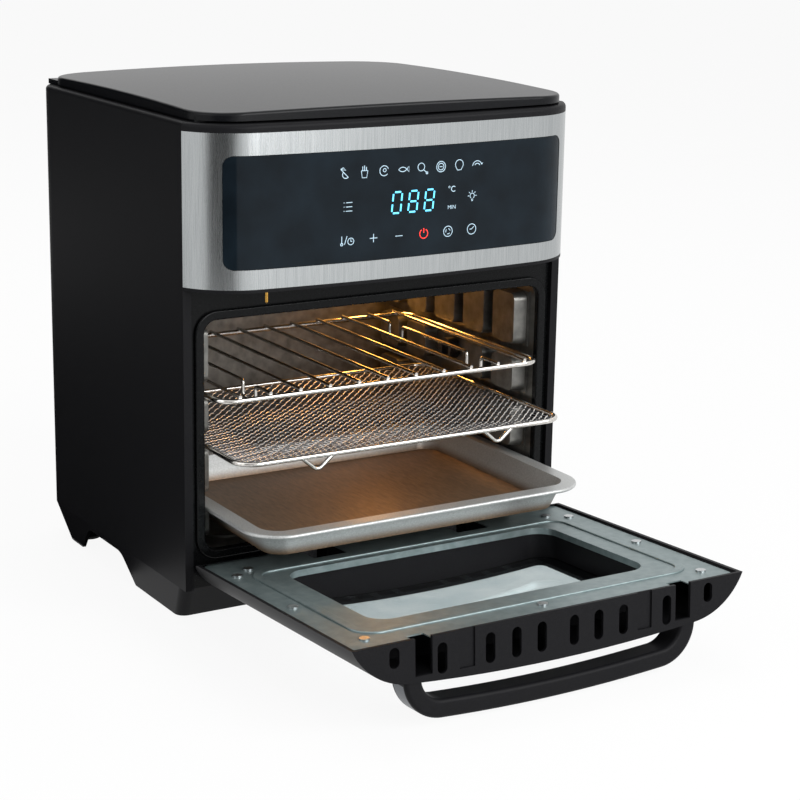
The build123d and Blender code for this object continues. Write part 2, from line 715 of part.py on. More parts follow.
# Top cover
def cover_plan(inset, corner):
    """Straight sides and back, with a front that runs parallel to the bow."""
    half = HALF - inset
    radius = BOW_RADIUS - inset
    centre_y = Y_FRONT - FASCIA_DEPTH + BOW_RADIUS
    front = centre_y - sqrt(radius**2 - half**2)
    rear = Y_BACK - inset
    arc = ThreePointArc((-half, front), (0, centre_y - radius), (half, front))
    sides = Polyline((half, front), (half, rear), (-half, rear), (-half, front))
    outline = make_face([arc] + list(sides.edges()))
    return fillet(outline.vertices(), corner)


def top_cover():
    """A crowned plate, hollow below, on a seat that leaves a shadow gap round the rim."""
    under = RIM_HEIGHT + COVER_GAP
    crown = under + COVER_EDGE + (HALF**2 + (BODY_DEPTH / 2) ** 2) / (2 * COVER_CROWN_RADIUS)
    cover = prism_z(cover_plan(COVER_INSET, COVER_CORNER), under, crown + COVER_EDGE)
    cover &= Pos(0, 0, crown - COVER_CROWN_RADIUS) * Sphere(COVER_CROWN_RADIUS)
    cover = fillet(cover.faces().sort_by(Axis.Z)[-1].edges(), COVER_EDGE_ROUND)
    roof = under + COVER_EDGE - COVER_WALL
    cover -= prism_z(cover_plan(COVER_INSET + COVER_WALL, COVER_CORNER - COVER_WALL), under, roof)
    half, rear = ledge_opening()
    x1 = half - COVER_FIT
    y0 = Y_FRONT + COVER_FIT
    y1 = rear - COVER_FIT
    foot = RIM_HEIGHT - COVER_LIP_DEPTH
    ring = block(-x1, x1, y0, y1, foot, roof)
    ring += block(-x1 - COVER_SEAT, x1 + COVER_SEAT, y0 - COVER_SEAT, y1 + COVER_SEAT, RIM_HEIGHT, roof)
    ring -= block(-x1 + COVER_LIP, x1 - COVER_LIP, y0 + COVER_LIP, y1 - COVER_LIP, foot, roof)
    return cover + ring


# Front frame and chamber
def front_frame():
    half = HALF - HOUSING_WALL - FRAME_SIDE_FIT
    mouth = window(MOUTH_WIDTH, MOUTH_BOTTOM, MOUTH_TOP, MOUTH_CORNER)
    lip_face = window(
        MOUTH_WIDTH + 2 * FRAME_LIP_WIDTH,
        MOUTH_BOTTOM - FRAME_LIP_WIDTH,
        MOUTH_TOP + FRAME_LIP_WIDTH,
        MOUTH_CORNER + FRAME_LIP_WIDTH,
    )
    lip = prism_y(lip_face - mouth, FRAME_FACE - FRAME_LIP_HEIGHT, FRAME_FACE)
    lip = fillet(lip.faces().sort_by(Axis.Y)[0].edges(), FRAME_LIP_ROUND)
    plate = block(-half, half, FRAME_FACE, LINER_FRONT, BASE_HEIGHT, SEAM_HEIGHT)
    plate -= prism_y(mouth, FRAME_FACE, LINER_FRONT)
    return plate + lip


def liner_side():
    x1 = LINER_HALF + LINER_SHEET
    z0 = LINER_FLOOR_Z - LINER_SHEET
    return block(LINER_HALF, x1, LINER_FRONT, LINER_BACK, z0, CEILING_TOP)


def liner_right():
    return liner_side() - rod_x(DRIVE_Y, DRIVE_Z, DRIVE_SHAFT + DRIVE_FIT, 0, HALF)


def liner_left():
    return mirror(liner_side(), about=Plane.YZ)


def liner_back():
    half = LINER_HALF + LINER_SHEET
    z0 = LINER_FLOOR_Z - LINER_SHEET
    back = block(-half, half, LINER_BACK, LINER_BACK + LINER_SHEET, z0, CEILING_TOP)
    return back - rod_y(PROBE_X, PROBE_Z, PROBE_RADIUS, LINER_BACK, LINER_BACK + LINER_SHEET)


def liner_floor():
    z0 = LINER_FLOOR_Z - LINER_SHEET
    floor = block(-LINER_HALF, LINER_HALF, LINER_FRONT, LINER_BACK, z0, LINER_FLOOR_Z)
    width = LINER_WIDTH - 2 * FLOOR_BEAD_INSET
    depth = LINER_DEPTH - 2 * FLOOR_BEAD_INSET
    bead = RectangleRounded(width, depth, FLOOR_BEAD_CORNER)
    bead -= RectangleRounded(width - 2 * FLOOR_BEAD_WIDTH, depth - 2 * FLOOR_BEAD_WIDTH, FLOOR_BEAD_CORNER)
    return floor + prism_z(Pos(0, FAN_Y) * bead, LINER_FLOOR_Z, LINER_FLOOR_Z + FLOOR_BEAD_HEIGHT)


def liner_ceiling():
    ceiling = block(-LINER_HALF, LINER_HALF, LINER_FRONT, LINER_BACK, LINER_CEILING_Z, CEILING_TOP)
    ceiling -= rod_z(0, FAN_Y, FAN_HOLE, LINER_CEILING_Z, CEILING_TOP)
    return ceiling - rod_z(LAMP_X, LAMP_Y, LAMP_HOLE, LINER_CEILING_Z, CEILING_TOP)


def guide_row(row, skip=None):
    """One pressed strip: hollow pockets that stand in from the wall, in a row."""
    z0, z1 = GUIDE_ROWS[row]
    wall = LINER_HALF
    ends = POCKETS * POCKET_PITCH / 2 - GUIDE_END
    strip = block(wall - GUIDE_SHEET, wall, FAN_Y - ends, FAN_Y + ends, z0, z1)
    plane = Plane(origin=(wall, 0, 0), x_dir=(0, 1, 0), z_dir=(-1, 0, 0))
    for pocket in range(POCKETS):
        if pocket == skip:
            continue
        y = FAN_Y + (pocket - (POCKETS - 1) / 2) * POCKET_PITCH
        place = Pos(y, -(z0 + z1) / 2)
        outer = plane * place * RectangleRounded(POCKET_LENGTH, z1 - z0, POCKET_CORNER)
        inner = plane * place * RectangleRounded(
            POCKET_LENGTH - 2 * GUIDE_SHEET, z1 - z0 - 2 * GUIDE_SHEET, POCKET_CORNER - GUIDE_SHEET
        )
        strip += extrude(outer, GUIDE_DEPTH, taper=POCKET_DRAFT)
        strip -= extrude(inner, GUIDE_DEPTH - GUIDE_SHEET, taper=POCKET_DRAFT)
    return strip


def guide_rows():
    """All rows of one side, with a flat place in one of them for the spit drive."""
    rows = range(len(GUIDE_ROWS))
    return [guide_row(row, DRIVE_POCKET if row == DRIVE_ROW else None) for row in rows]


def rack_guides_right():
    rows = guide_rows()
    rows[DRIVE_ROW] -= rod_x(DRIVE_Y, DRIVE_Z, DRIVE_SHAFT + DRIVE_FIT, 0, HALF)
    return rows


def rack_guides_left():
    return [mirror(row, about=Plane.YZ) for row in guide_rows()]


# Heater and fans
def fan_guard():
    z1 = LINER_CEILING_Z
    z0 = z1 - GUARD_DISH
    dish = rod_z(0, FAN_Y, GUARD_RADIUS, z1 - GUARD_SHEET, z1)
    dish += rod_z(0, FAN_Y, FAN_HOLE, z0 - GUARD_SHEET, z1)
    dish -= rod_z(0, FAN_Y, FAN_HOLE - GUARD_SHEET, z0, z1)
    slot = SlotOverall(GUARD_SLOT_LENGTH, GUARD_SLOT_WIDTH)
    for ring in range(GUARD_RINGS):
        radius = GUARD_FIRST_RING + ring * GUARD_RING_PITCH
        for place in PolarLocations(radius, GUARD_SLOTS):
            dish -= Pos(0, FAN_Y, 0) * prism_z(place * slot, z0 - GUARD_SHEET, z0)
    return dish


def fan_shroud():
    outside = FAN_HOLE + SHROUD_SHEET
    shroud = rod_z(0, FAN_Y, outside + SHROUD_FLANGE, CEILING_TOP, CEILING_TOP + SHROUD_SHEET)
    shroud += rod_z(0, FAN_Y, outside, CEILING_TOP, SHROUD_TOP)
    shroud -= rod_z(0, FAN_Y, FAN_HOLE, CEILING_TOP, SHROUD_TOP - SHROUD_SHEET)
    return shroud - rod_z(0, FAN_Y, SHAFT_HOLE, CEILING_TOP, SHROUD_TOP)


def heater_element():
    """A flat spiral of half turns whose ends rise to the shroud."""
    z = CEILING_TOP + HEATER_LIFT
    top = SHROUD_TOP - SHROUD_SHEET
    side = 1
    x = HEATER_RADIUS
    arcs = []
    for turn in range(HEATER_HALF_TURNS):
        far = -side * (HEATER_RADIUS + (turn + 1) * HEATER_PITCH / 2)
        middle = ((x + far) / 2, FAN_Y + side * abs(x - far) / 2, z)
        arcs.append(ThreePointArc((x, FAN_Y, z), middle, (far, FAN_Y, z)))
        x = far
        side = -side
    coil = wire(Wire(arcs), HEATER_TUBE)
    for end in (HEATER_RADIUS, x):
        coil += rod_z(end, FAN_Y, HEATER_TUBE / 2, z, top)
        coil += Pos(end, FAN_Y, z) * Sphere(HEATER_TUBE / 2)
    return coil


def blades(count, outer, z0, z1):
    """Flat radial blades, each rooted in the hub."""
    inner = FAN_HUB - FAN_BLADE_ROOT
    blade = block(inner, outer, -FAN_BLADE_THICKNESS / 2, FAN_BLADE_THICKNESS / 2, z0, z1)
    return [Pos(0, FAN_Y, 0) * Rot(0, 0, 360 * n / count) * blade for n in range(count)]


def convection_fan():
    fan = rod_z(0, FAN_Y, FAN_RADIUS, FAN_Z - FAN_DISC, FAN_Z)
    fan += rod_z(0, FAN_Y, FAN_HUB, FAN_Z - FAN_BLADE_HEIGHT, FAN_Z)
    fan += blades(FAN_BLADES, FAN_RADIUS, FAN_Z - FAN_BLADE_HEIGHT, FAN_Z - FAN_DISC)
    return fan - rod_z(0, FAN_Y, SHAFT_RADIUS, FAN_Z - FAN_BLADE_HEIGHT, FAN_Z)


def fan_shaft():
    top = BRACKET_TOP + MOTOR_HEIGHT + SHAFT_END
    return rod_z(0, FAN_Y, SHAFT_RADIUS, FAN_Z - FAN_BLADE_HEIGHT, top)


def cooling_fan():
    fan = rod_z(0, FAN_Y, FAN_HUB, COOLER_Z, COOLER_Z + COOLER_HEIGHT)
    fan += rod_z(0, FAN_Y, COOLER_RADIUS, COOLER_Z, COOLER_Z + FAN_DISC)
    fan += blades(COOLER_BLADES, COOLER_RADIUS, COOLER_Z + FAN_DISC, COOLER_Z + COOLER_HEIGHT)
    return fan - rod_z(0, FAN_Y, SHAFT_RADIUS, COOLER_Z, COOLER_Z + COOLER_HEIGHT)


def motor_bracket():
    half = BRACKET_LENGTH / 2
    y0 = FAN_Y - BRACKET_WIDTH / 2
    y1 = FAN_Y + BRACKET_WIDTH / 2
    plate = block(-half, half, y0, y1, BRACKET_TOP - BRACKET_SHEET, BRACKET_TOP)
    plate -= rod_z(0, FAN_Y, SHAFT_HOLE, CEILING_TOP, BRACKET_TOP)
    leg = block(half - BRACKET_SHEET, half, y0, y1, CEILING_TOP, BRACKET_TOP)
    leg += block(half - BRACKET_SHEET, half + BRACKET_FOOT, y0, y1, CEILING_TOP, CEILING_TOP + BRACKET_SHEET)
    return plate + pair(leg)


def fan_motor():
    z1 = BRACKET_TOP + MOTOR_HEIGHT
    x = MOTOR_WIDTH / 2
    y = MOTOR_DEPTH / 2
    motor = block(-x, x, FAN_Y - y, FAN_Y + y, BRACKET_TOP, z1)
    coil = rod_x(FAN_Y, (BRACKET_TOP + z1) / 2, MOTOR_COIL_RADIUS, 0, MOTOR_COIL_LENGTH)
    motor += Pos(-MOTOR_COIL_LENGTH / 2, 0, 0) * coil
    return motor - rod_z(0, FAN_Y, SHAFT_RADIUS + SHAFT_FIT, BRACKET_TOP, z1)


# Lamp
def lamp_cover():
    """A glass dome that hangs from a flange under the ceiling."""
    z1 = LINER_CEILING_Z
    z0 = z1 - LAMP_GLASS
    radius = (LAMP_HOLE**2 + LAMP_DOME**2) / (2 * LAMP_DOME)
    centre = z0 - LAMP_DOME + radius
    dome = Pos(LAMP_X, LAMP_Y, centre) * (Sphere(radius) - Sphere(radius - LAMP_GLASS))
    dome &= rod_z(LAMP_X, LAMP_Y, LAMP_FLANGE, z0 - LAMP_DOME, z0)
    ring = rod_z(LAMP_X, LAMP_Y, LAMP_FLANGE, z0, z1) - rod_z(LAMP_X, LAMP_Y, LAMP_HOLE - LAMP_GLASS, z0, z1)
    return dome + ring


def lamp_holder():
    z1 = CEILING_TOP + LAMP_CAN_HEIGHT
    outside = LAMP_HOLE + LAMP_CAN_WALL
    can = rod_z(LAMP_X, LAMP_Y, outside, CEILING_TOP, z1)
    return can - rod_z(LAMP_X, LAMP_Y, LAMP_HOLE, CEILING_TOP, z1 - LAMP_CAN_WALL)


def lamp_bulb():
    z1 = CEILING_TOP + LAMP_CAN_HEIGHT - LAMP_CAN_WALL
    z0 = z1 - BULB_LENGTH
    bulb = Pos(LAMP_X, LAMP_Y, z0) * Sphere(BULB_RADIUS)
    return bulb + rod_z(LAMP_X, LAMP_Y, BULB_BASE, z0, z1)


# Spit drive, spit rest and probe
def rotisserie_motor():
    x0 = LINER_HALF + LINER_SHEET
    x1 = x0 + SPIT_MOTOR_DEPTH
    motor = rod_x(DRIVE_Y, DRIVE_Z, SPIT_MOTOR_RADIUS, x0, x1)
    return motor - rod_x(DRIVE_Y, DRIVE_Z, DRIVE_SHAFT + DRIVE_FIT, x0, x1)


def rotisserie_coupling():
    """A square socket on its shaft, just clear of the pressed wall."""
    wall = LINER_HALF - GUIDE_SHEET - DRIVE_STANDOFF
    socket = rod_x(DRIVE_Y, DRIVE_Z, DRIVE_SOCKET, wall - DRIVE_SOCKET_LENGTH, wall)
    bore = Pos(DRIVE_Y, DRIVE_Z) * Rectangle(DRIVE_SOCKET_BORE * 2, DRIVE_SOCKET_BORE * 2)
    socket -= prism_x(bore, wall - DRIVE_SOCKET_LENGTH, wall - 2 * GUIDE_SHEET)
    end = LINER_HALF + LINER_SHEET + SPIT_MOTOR_DEPTH
    return socket + rod_x(DRIVE_Y, DRIVE_Z, DRIVE_SHAFT, wall, end)


def spit_rest():
    """A bracket with an open slot that takes the far end of a spit."""
    x0 = -LINER_HALF + GUIDE_SHEET
    z0 = DRIVE_Z - REST_HEIGHT / 2
    y0 = DRIVE_Y - REST_WIDTH / 2
    rest = block(x0, x0 + GUIDE_DEPTH, y0, y0 + REST_WIDTH, z0, z0 + REST_HEIGHT)
    rest -= block(x0 + GUIDE_SHEET, HALF, y0, y0 + REST_WIDTH, z0 + GUIDE_SHEET, DRIVE_Z - REST_SLOT)
    slot = block(
        x0 + GUIDE_SHEET, x0 + GUIDE_DEPTH, DRIVE_Y - REST_SLOT / 2, DRIVE_Y + REST_SLOT / 2,
        DRIVE_Z, z0 + REST_HEIGHT,
    )
    return rest - slot - rod_x(DRIVE_Y, DRIVE_Z, REST_SLOT / 2, x0 + GUIDE_SHEET, x0 + GUIDE_DEPTH)


def temperature_probe():
    y0 = LINER_BACK - PROBE_REACH
    nut = LINER_BACK + LINER_SHEET
    probe = rod_y(PROBE_X, PROBE_Z, PROBE_RADIUS, y0, y0 + PROBE_LENGTH)
    hexagon = Pos(PROBE_X, PROBE_Z) * RegularPolygon(PROBE_NUT, 6)
    return probe + prism_y(hexagon, nut, nut + PROBE_NUT_LENGTH)


# Power board
def power_post_places():
    x = POWER_WIDTH / 2 - POWER_POST_INSET
    z = POWER_HEIGHT / 2 - POWER_POST_INSET
    return [(sx * x, POWER_Z + sz * z) for sx in (-1, 1) for sz in (-1, 1)]


def power_board():
    back = Y_BACK - HOUSING_WALL - POWER_STANDOFF
    front = back - BOARD_THICKNESS
    board = prism_y(Pos(0, POWER_Z) * Rectangle(POWER_WIDTH, POWER_HEIGHT), front, back)
    for x, width, height, depth in POWER_BLOCKS:
        board += prism_y(Pos(x, POWER_Z) * Rectangle(width, height), front - depth, front)
    return board


# Hinges
def hinge_arm():
    """A steel arm with an eye, on a foot that is screwed to the front frame."""
    eye = Pos(PIVOT_Y, PIVOT_Z) * Circle(ARM_EYE)
    y_middle = (PIVOT_Y + FRAME_FACE) / 2
    bar = Pos(y_middle, PIVOT_Z) * Rectangle(FRAME_FACE - PIVOT_Y, ARM_HEIGHT)
    bore = Pos(PIVOT_Y, PIVOT_Z) * Circle(PIN_RADIUS + PIN_FIT)
    x0 = HINGE_X - ARM_THICKNESS / 2
    arm = prism_x(eye + bar - bore, x0, x0 + ARM_THICKNESS)
    foot_half = ARM_FOOT_WIDTH / 2
    z0 = PIVOT_Z - ARM_FOOT_HEIGHT / 2
    z1 = PIVOT_Z + ARM_FOOT_HEIGHT / 2
    return arm + block(HINGE_X - foot_half, HINGE_X + foot_half, FRAME_FACE - ARM_FOOT, FRAME_FACE, z0, z1)


def hinge_pin_ends():
    reach = NOTCH_WIDTH / 2 + HINGE_BLOCK_WALL
    return HINGE_X - reach, HINGE_X + reach


def hinge_pins():
    x0, x1 = hinge_pin_ends()
    pin = rod_x(PIVOT_Y, PIVOT_Z, PIN_RADIUS, x0, x1)
    return [pin, mirror(pin, about=Plane.YZ)]


# Door, drawn shut
def door_section(inset):
    """The door's side view: square at the top, rounded at toe and heel."""
    y0 = Y_FRONT - FASCIA_DEPTH + inset
    y1 = DOOR_INNER
    z0 = DOOR_BOTTOM + inset
    z1 = DOOR_TOP - inset
    outline = Pos((y0 + y1) / 2, (z0 + z1) / 2) * Rectangle(y1 - y0, z1 - z0)
    low = outline.vertices().group_by(Axis.Y)[0]
    toe = low.sort_by(Axis.X)[0]
    outline = fillet([toe], DOOR_TOE_ROUND - inset)
    heel = outline.vertices().group_by(Axis.Y)[0].sort_by(Axis.X)[-1]
    return fillet([heel], DOOR_HEEL_ROUND - inset)


def door_volume(inset):
    body = bow(DOOR_WIDTH, inset, DOOR_BOTTOM, DOOR_TOP)
    return body & prism_x(door_section(inset), -HALF, HALF)


def window_outline(grow):
    width = WINDOW_WIDTH + 2 * grow
    return window(width, WINDOW_BOTTOM - grow, WINDOW_TOP + grow, WINDOW_CORNER + grow)


def door_screw_places():
    half = DOOR_WIDTH / 2
    places = [(sx * (half - inset), z) for sx in (-1, 1) for inset, z in DOOR_SCREWS]
    return places + [(0, DOOR_TOP - TOP_SCREW_DROP)]


def inner_back():
    return INNER_FACE - INNER_SHEET


def inner_foot():
    """The inner panel's lower edge, just above the round inside the shell's heel."""
    radius = DOOR_HEEL_ROUND - DOOR_WALL
    depth = INNER_FACE - (DOOR_INNER - radius)
    return DOOR_BOTTOM + DOOR_HEEL_ROUND - sqrt(radius**2 - depth**2) + INNER_FIT


def door_shell():
    outer = door_volume(0)
    front = Y_FRONT - FASCIA_DEPTH
    seat = inner_back()
    shell = outer - door_volume(DOOR_WALL)
    collar = window_outline(COLLAR_FIT + COLLAR_WALL) - window_outline(COLLAR_FIT)
    fill = prism_y(collar, front, seat)
    for x, z in door_screw_places():
        fill += rod_y(x, z, BOSS_RADIUS, front, seat)
    x0, x1 = hinge_pin_ends()
    fill += pair(block(x0, x1, front, seat, DOOR_BOTTOM, NOTCH_TOP + HINGE_BLOCK_TOP))
    shell += fill & outer
    shell -= prism_y(window_outline(-WINDOW_BORDER), front, seat)
    shell -= door_cuts()
    return shell


def door_cuts():
    front = Y_FRONT - FASCIA_DEPTH
    cuts = []
    for x, z in door_screw_places():
        cuts.append(rod_y(x, z, SCREW_SHANK, inner_back() - SCREW_LENGTH, inner_back()))
    x0 = HINGE_X - NOTCH_WIDTH / 2
    notch = block(x0, x0 + NOTCH_WIDTH, PIVOT_Y - NOTCH_PAST, Y_FRONT, 0, NOTCH_TOP)
    pin0, pin1 = hinge_pin_ends()
    cuts.append(pair(notch + rod_x(PIVOT_Y, PIVOT_Z, PIN_RADIUS, pin0, pin1)))
    roof = DOOR_TOP - DOOR_WALL
    vent = SlotOverall(SLOT_LENGTH, SLOT_WIDTH, rotation=90)
    for share in SLOT_SHARES:
        slot = Pos(DOOR_WIDTH * share, Y_FRONT - SLOT_SETBACK) * vent
        cuts.append(pair(prism_z(slot, roof, DOOR_TOP)))
    end_slot = SlotOverall(END_SLOT_LENGTH, SLOT_WIDTH, rotation=90)
    slot = Pos(DOOR_WIDTH * END_SLOT_SHARE, Y_FRONT - END_SLOT_SETBACK) * end_slot
    cuts.append(pair(prism_z(slot, roof, DOOR_TOP)))
    clip_x = DOOR_WIDTH * CLIP_SHARE
    clip = block(
        clip_x - CLIP_WIDTH / 2, clip_x + CLIP_WIDTH / 2, Y_FRONT - CLIP_LENGTH, Y_FRONT,
        DOOR_TOP - CLIP_DEPTH, DOOR_TOP,
    )
    cuts.append(pair(clip))
    cuts.append(pair(catch_groove()))
    return cuts


def catch_groove():
    """The groove that passes the door switch as the door shuts."""
    x0 = CATCH_X - CATCH_WIDTH / 2
    return block(
        x0, x0 + CATCH_WIDTH, Y_FRONT - CATCH_LENGTH, Y_FRONT, DOOR_TOP - CATCH_DEPTH, DOOR_TOP
    )


def door_glass():
    """A bent pane that lies on the inside of the bowed front."""
    pane = bow(DOOR_WIDTH, DOOR_WALL, DOOR_BOTTOM, DOOR_TOP)
    pane -= bow(DOOR_WIDTH, DOOR_WALL + GLASS_THICKNESS, DOOR_BOTTOM, DOOR_TOP)
    outline = window_outline(COLLAR_FIT - GLASS_FIT)
    return pane & prism_y(outline, Y_FRONT - FASCIA_DEPTH, Y_FRONT)


def door_inner_panel():
    """The pressed steel panel: a rib right round, a hemmed window and two hinge slots."""
    room = bow_face(DOOR_WIDTH, DOOR_WALL) & Pos(0, inner_back()) * Rectangle(BODY_WIDTH, INNER_SHEET)
    width = room.bounding_box().size.X - 2 * INNER_FIT - 2 * INNER_SHEET
    z0 = inner_foot()
    z1 = DOOR_TOP - DOOR_WALL - INNER_FIT
    panel = prism_y(window(width, z0, z1, INNER_CORNER), inner_back(), INNER_FACE)
    rib = window(2 * RIB_HALF, RIB_BOTTOM, RIB_TOP, RIB_CORNER)
    inner_half = RIB_HALF - RIB_WIDTH
    inside = window(2 * inner_half, RIB_BOTTOM + RIB_WIDTH, RIB_TOP - RIB_WIDTH, RIB_CORNER - RIB_WIDTH)
    ridge = prism_y(rib - inside, INNER_FACE, INNER_FACE + RIB_HEIGHT)
    ridge = fillet(ridge.faces().sort_by(Axis.Y)[-1].edges(), RIB_ROUND)
    panel += ridge
    hollow = RIB_HALF - INNER_SHEET
    groove = window(2 * hollow, RIB_BOTTOM + INNER_SHEET, RIB_TOP - INNER_SHEET, RIB_CORNER - INNER_SHEET)
    core = RIB_WIDTH - INNER_SHEET
    groove -= window(2 * (RIB_HALF - core), RIB_BOTTOM + core, RIB_TOP - core, RIB_CORNER - core)
    panel -= prism_y(groove, inner_back(), INNER_FACE + RIB_HEIGHT - INNER_SHEET)
    panel += prism_y(window_outline(INNER_SHEET), inner_back() - INNER_HEM, INNER_FACE)
    panel -= prism_y(window_outline(0), inner_back() - INNER_HEM, Y_FRONT)
    x0 = HINGE_X - NOTCH_WIDTH / 2
    panel -= pair(block(x0, x0 + NOTCH_WIDTH, inner_back(), Y_FRONT, 0, NOTCH_TOP))
    panel -= pair(catch_groove())
    for x, z in door_screw_places():
        panel -= rod_y(x, z, SCREW_SHANK, inner_back(), INNER_FACE)
    return panel


def door_screws():
    screws = []
    for x, z in door_screw_places():
        head = rod_y(x, z, SCREW_HEAD, INNER_FACE, INNER_FACE + SCREW_HEAD_HEIGHT)
        screws.append(head + rod_y(x, z, SCREW_SHANK, inner_back() - SCREW_LENGTH, INNER_FACE))
    return screws


# Handle
def handle_plan(inset):
    """A bowed bar with a large round at each end, in plan."""
    half = HANDLE_WIDTH / 2 - inset
    radius = BOW_RADIUS + HANDLE_REACH - inset
    centre_y = Y_FRONT - FASCIA_DEPTH + BOW_RADIUS
    front = centre_y - sqrt(radius**2 - half**2)
    arc = ThreePointArc((-half, front), (0, centre_y - radius), (half, front))
    sides = Polyline((half, front), (half, Y_FRONT), (-half, Y_FRONT), (-half, front))
    outline = make_face([arc] + list(sides.edges()))
    return fillet(outline.vertices().group_by(Axis.Y)[0], HANDLE_CORNER - inset)


def handle_heights():
    z1 = DOOR_TOP - HANDLE_DROP
    return z1 - HANDLE_HEIGHT, z1


def trim_band(outer, inner):
    z0, z1 = handle_heights()
    middle = (z0 + z1) / 2
    band = prism_z(
        handle_plan(outer) - handle_plan(inner), middle - TRIM_WIDTH / 2, middle + TRIM_WIDTH / 2
    )
    reach = FASCIA_DEPTH + HANDLE_REACH
    return band & block(-HALF, HALF, Y_FRONT - reach, Y_FRONT - TRIM_START, z0, z1)


def door_handle():
    z0, z1 = handle_heights()
    loop = prism_z(handle_plan(0) - handle_plan(HANDLE_BAR), z0, z1)
    edges = loop.faces().sort_by(Axis.Z)[0].edges() + loop.faces().sort_by(Axis.Z)[-1].edges()
    edges = [e for e in edges if abs(e.center().Y - Y_FRONT) > HANDLE_ROUND]
    loop = fillet(edges, HANDLE_ROUND)
    return loop - bow(DOOR_WIDTH, 0, DOOR_BOTTOM, DOOR_TOP) - trim_band(0, TRIM_THICKNESS)


def handle_trim():
    return trim_band(0, TRIM_THICKNESS)


# Racks
def rack_wire(x, dipped):
    y0 = RACK_FRONT + RACK_RIM_WIRE / 2
    y1 = RACK_FRONT + RACK_DEPTH - RACK_RIM_WIRE / 2
    z = RACK_Z + (RACK_RIM_WIRE + RACK_WIRE) / 2 - RACK_WELD
    if not dipped:
        return rod_y(x, z, RACK_WIRE / 2, y0, y1)
    points = [(x, y0, z)]
    for start in (y0 + DIP_FRONT_INSET, y1 - DIP_REAR_INSET - DIP_LENGTH):
        low = z - DIP_DEPTH
        points += [(x, start, z), (x, start, low), (x, start + DIP_LENGTH, low), (x, start + DIP_LENGTH, z)]
    points.append((x, y1, z))
    return wire(FilletPolyline(*points, radius=DIP_ROUND), RACK_WIRE)


def wire_rack():
    rack = wire_rim(RACK_WIDTH, RACK_FRONT, RACK_DEPTH, RACK_Z, RACK_CORNER, RACK_RIM_WIRE)
    for n in range(RACK_WIRES):
        x = (n - (RACK_WIRES - 1) / 2) * RACK_PITCH
        rack += rack_wire(x, n in (DIP_WIRE, RACK_WIRES - 1 - DIP_WIRE))
    return rack


def basket_rim():
    """The rim, with two bent feet under its front bar."""
    rim = wire_rim(BASKET_WIDTH, BASKET_FRONT, BASKET_DEPTH, BASKET_Z, BASKET_CORNER, BASKET_RIM_WIRE)
    y = BASKET_FRONT + BASKET_RIM_WIRE / 2
    span = BASKET_FOOT_SPAN / 2
    for x in (-BASKET_FOOT_X, BASKET_FOOT_X):
        points = [(x - span, y, BASKET_Z), (x, y, BASKET_Z - BASKET_FOOT_DROP), (x + span, y, BASKET_Z)]
        rim += wire(FilletPolyline(*points, radius=BASKET_FOOT_ROUND), BASKET_FOOT_WIRE)
    return rim


def basket_mesh():
    """A flat net of diamonds, in rows that are set half a step apart."""
    rim = wire_rim(BASKET_WIDTH, BASKET_FRONT, BASKET_DEPTH, BASKET_Z, BASKET_CORNER, BASKET_RIM_WIRE)
    width = BASKET_WIDTH - BASKET_RIM_WIRE
    depth = BASKET_DEPTH - BASKET_RIM_WIRE
    middle = BASKET_FRONT + BASKET_DEPTH / 2
    step_x = (width - 2 * MESH_MARGIN) / MESH_COLUMNS
    step_y = (depth - 2 * MESH_MARGIN) / MESH_ROWS
    half_x = (step_x - MESH_STRAND) / 2
    half_y = (step_y - MESH_STRAND) / 2
    diamond = Polyline((half_x, 0), (0, half_y), (-half_x, 0), (0, -half_y), close=True)
    places = list(GridLocations(step_x, step_y, MESH_COLUMNS, MESH_ROWS))
    places += list(GridLocations(step_x, step_y, MESH_COLUMNS - 1, MESH_ROWS - 1))
    holes = [Wire((place * diamond).edges()) for place in places]
    outline = RectangleRounded(width, depth, BASKET_CORNER - BASKET_RIM_WIRE / 2).wire()
    net = extrude(Pos(0, middle, BASKET_Z - MESH_SHEET / 2) * Face(outline, holes), MESH_SHEET)
    return net - rim


def tray_outline(z, shrink, corner):
    width = TRAY_WIDTH - 2 * shrink
    depth = TRAY_DEPTH - 2 * shrink
    return Pos(0, TRAY_FRONT + TRAY_DEPTH / 2, z) * RectangleRounded(width, depth, corner)


def drip_tray():
    """A pressed tray with sloping sides and a rolled rim."""
    mouth = TRAY_FLANGE
    foot = TRAY_FLANGE + TRAY_SLOPE
    z0 = TRAY_Z - TRAY_HOLLOW
    flange = tray_outline(0, TRAY_ROLL / 2, TRAY_CORNER - TRAY_ROLL / 2)
    tray = prism_z(flange, TRAY_Z - TRAY_SHEET, TRAY_Z)
    outer = [
        tray_outline(z0 - TRAY_SHEET, foot - TRAY_SHEET, TRAY_FLOOR_CORNER + TRAY_SHEET),
        tray_outline(TRAY_Z - TRAY_SHEET, mouth - TRAY_SHEET, TRAY_CORNER - mouth + TRAY_SHEET),
    ]
    inner = [
        tray_outline(z0, foot, TRAY_FLOOR_CORNER),
        tray_outline(TRAY_Z, mouth, TRAY_CORNER - mouth),
    ]
    tray = tray + loft(outer) - loft(inner)
    roll_z = TRAY_Z - TRAY_ROLL / 2
    return tray + wire_rim(TRAY_WIDTH, TRAY_FRONT, TRAY_DEPTH, roll_z, TRAY_CORNER, TRAY_ROLL)


# Door switch and cord gland
def door_switch():
    x, y = -CATCH_X, Y_FRONT - PLUNGER_SETBACK
    z0 = SEAM_HEIGHT + CARRIER_SKIN
    half_x = SWITCH_WIDTH / 2
    half_y = SWITCH_DEPTH / 2
    body = block(x - half_x, x + half_x, y - half_y, y + half_y, z0, z0 + SWITCH_HEIGHT)
    room = PLUNGER_STROKE * 2 + PLUNGER_HEAD
    return body - rod_z(x, y, PLUNGER_HEAD + PLUNGER_FIT, z0, z0 + room)


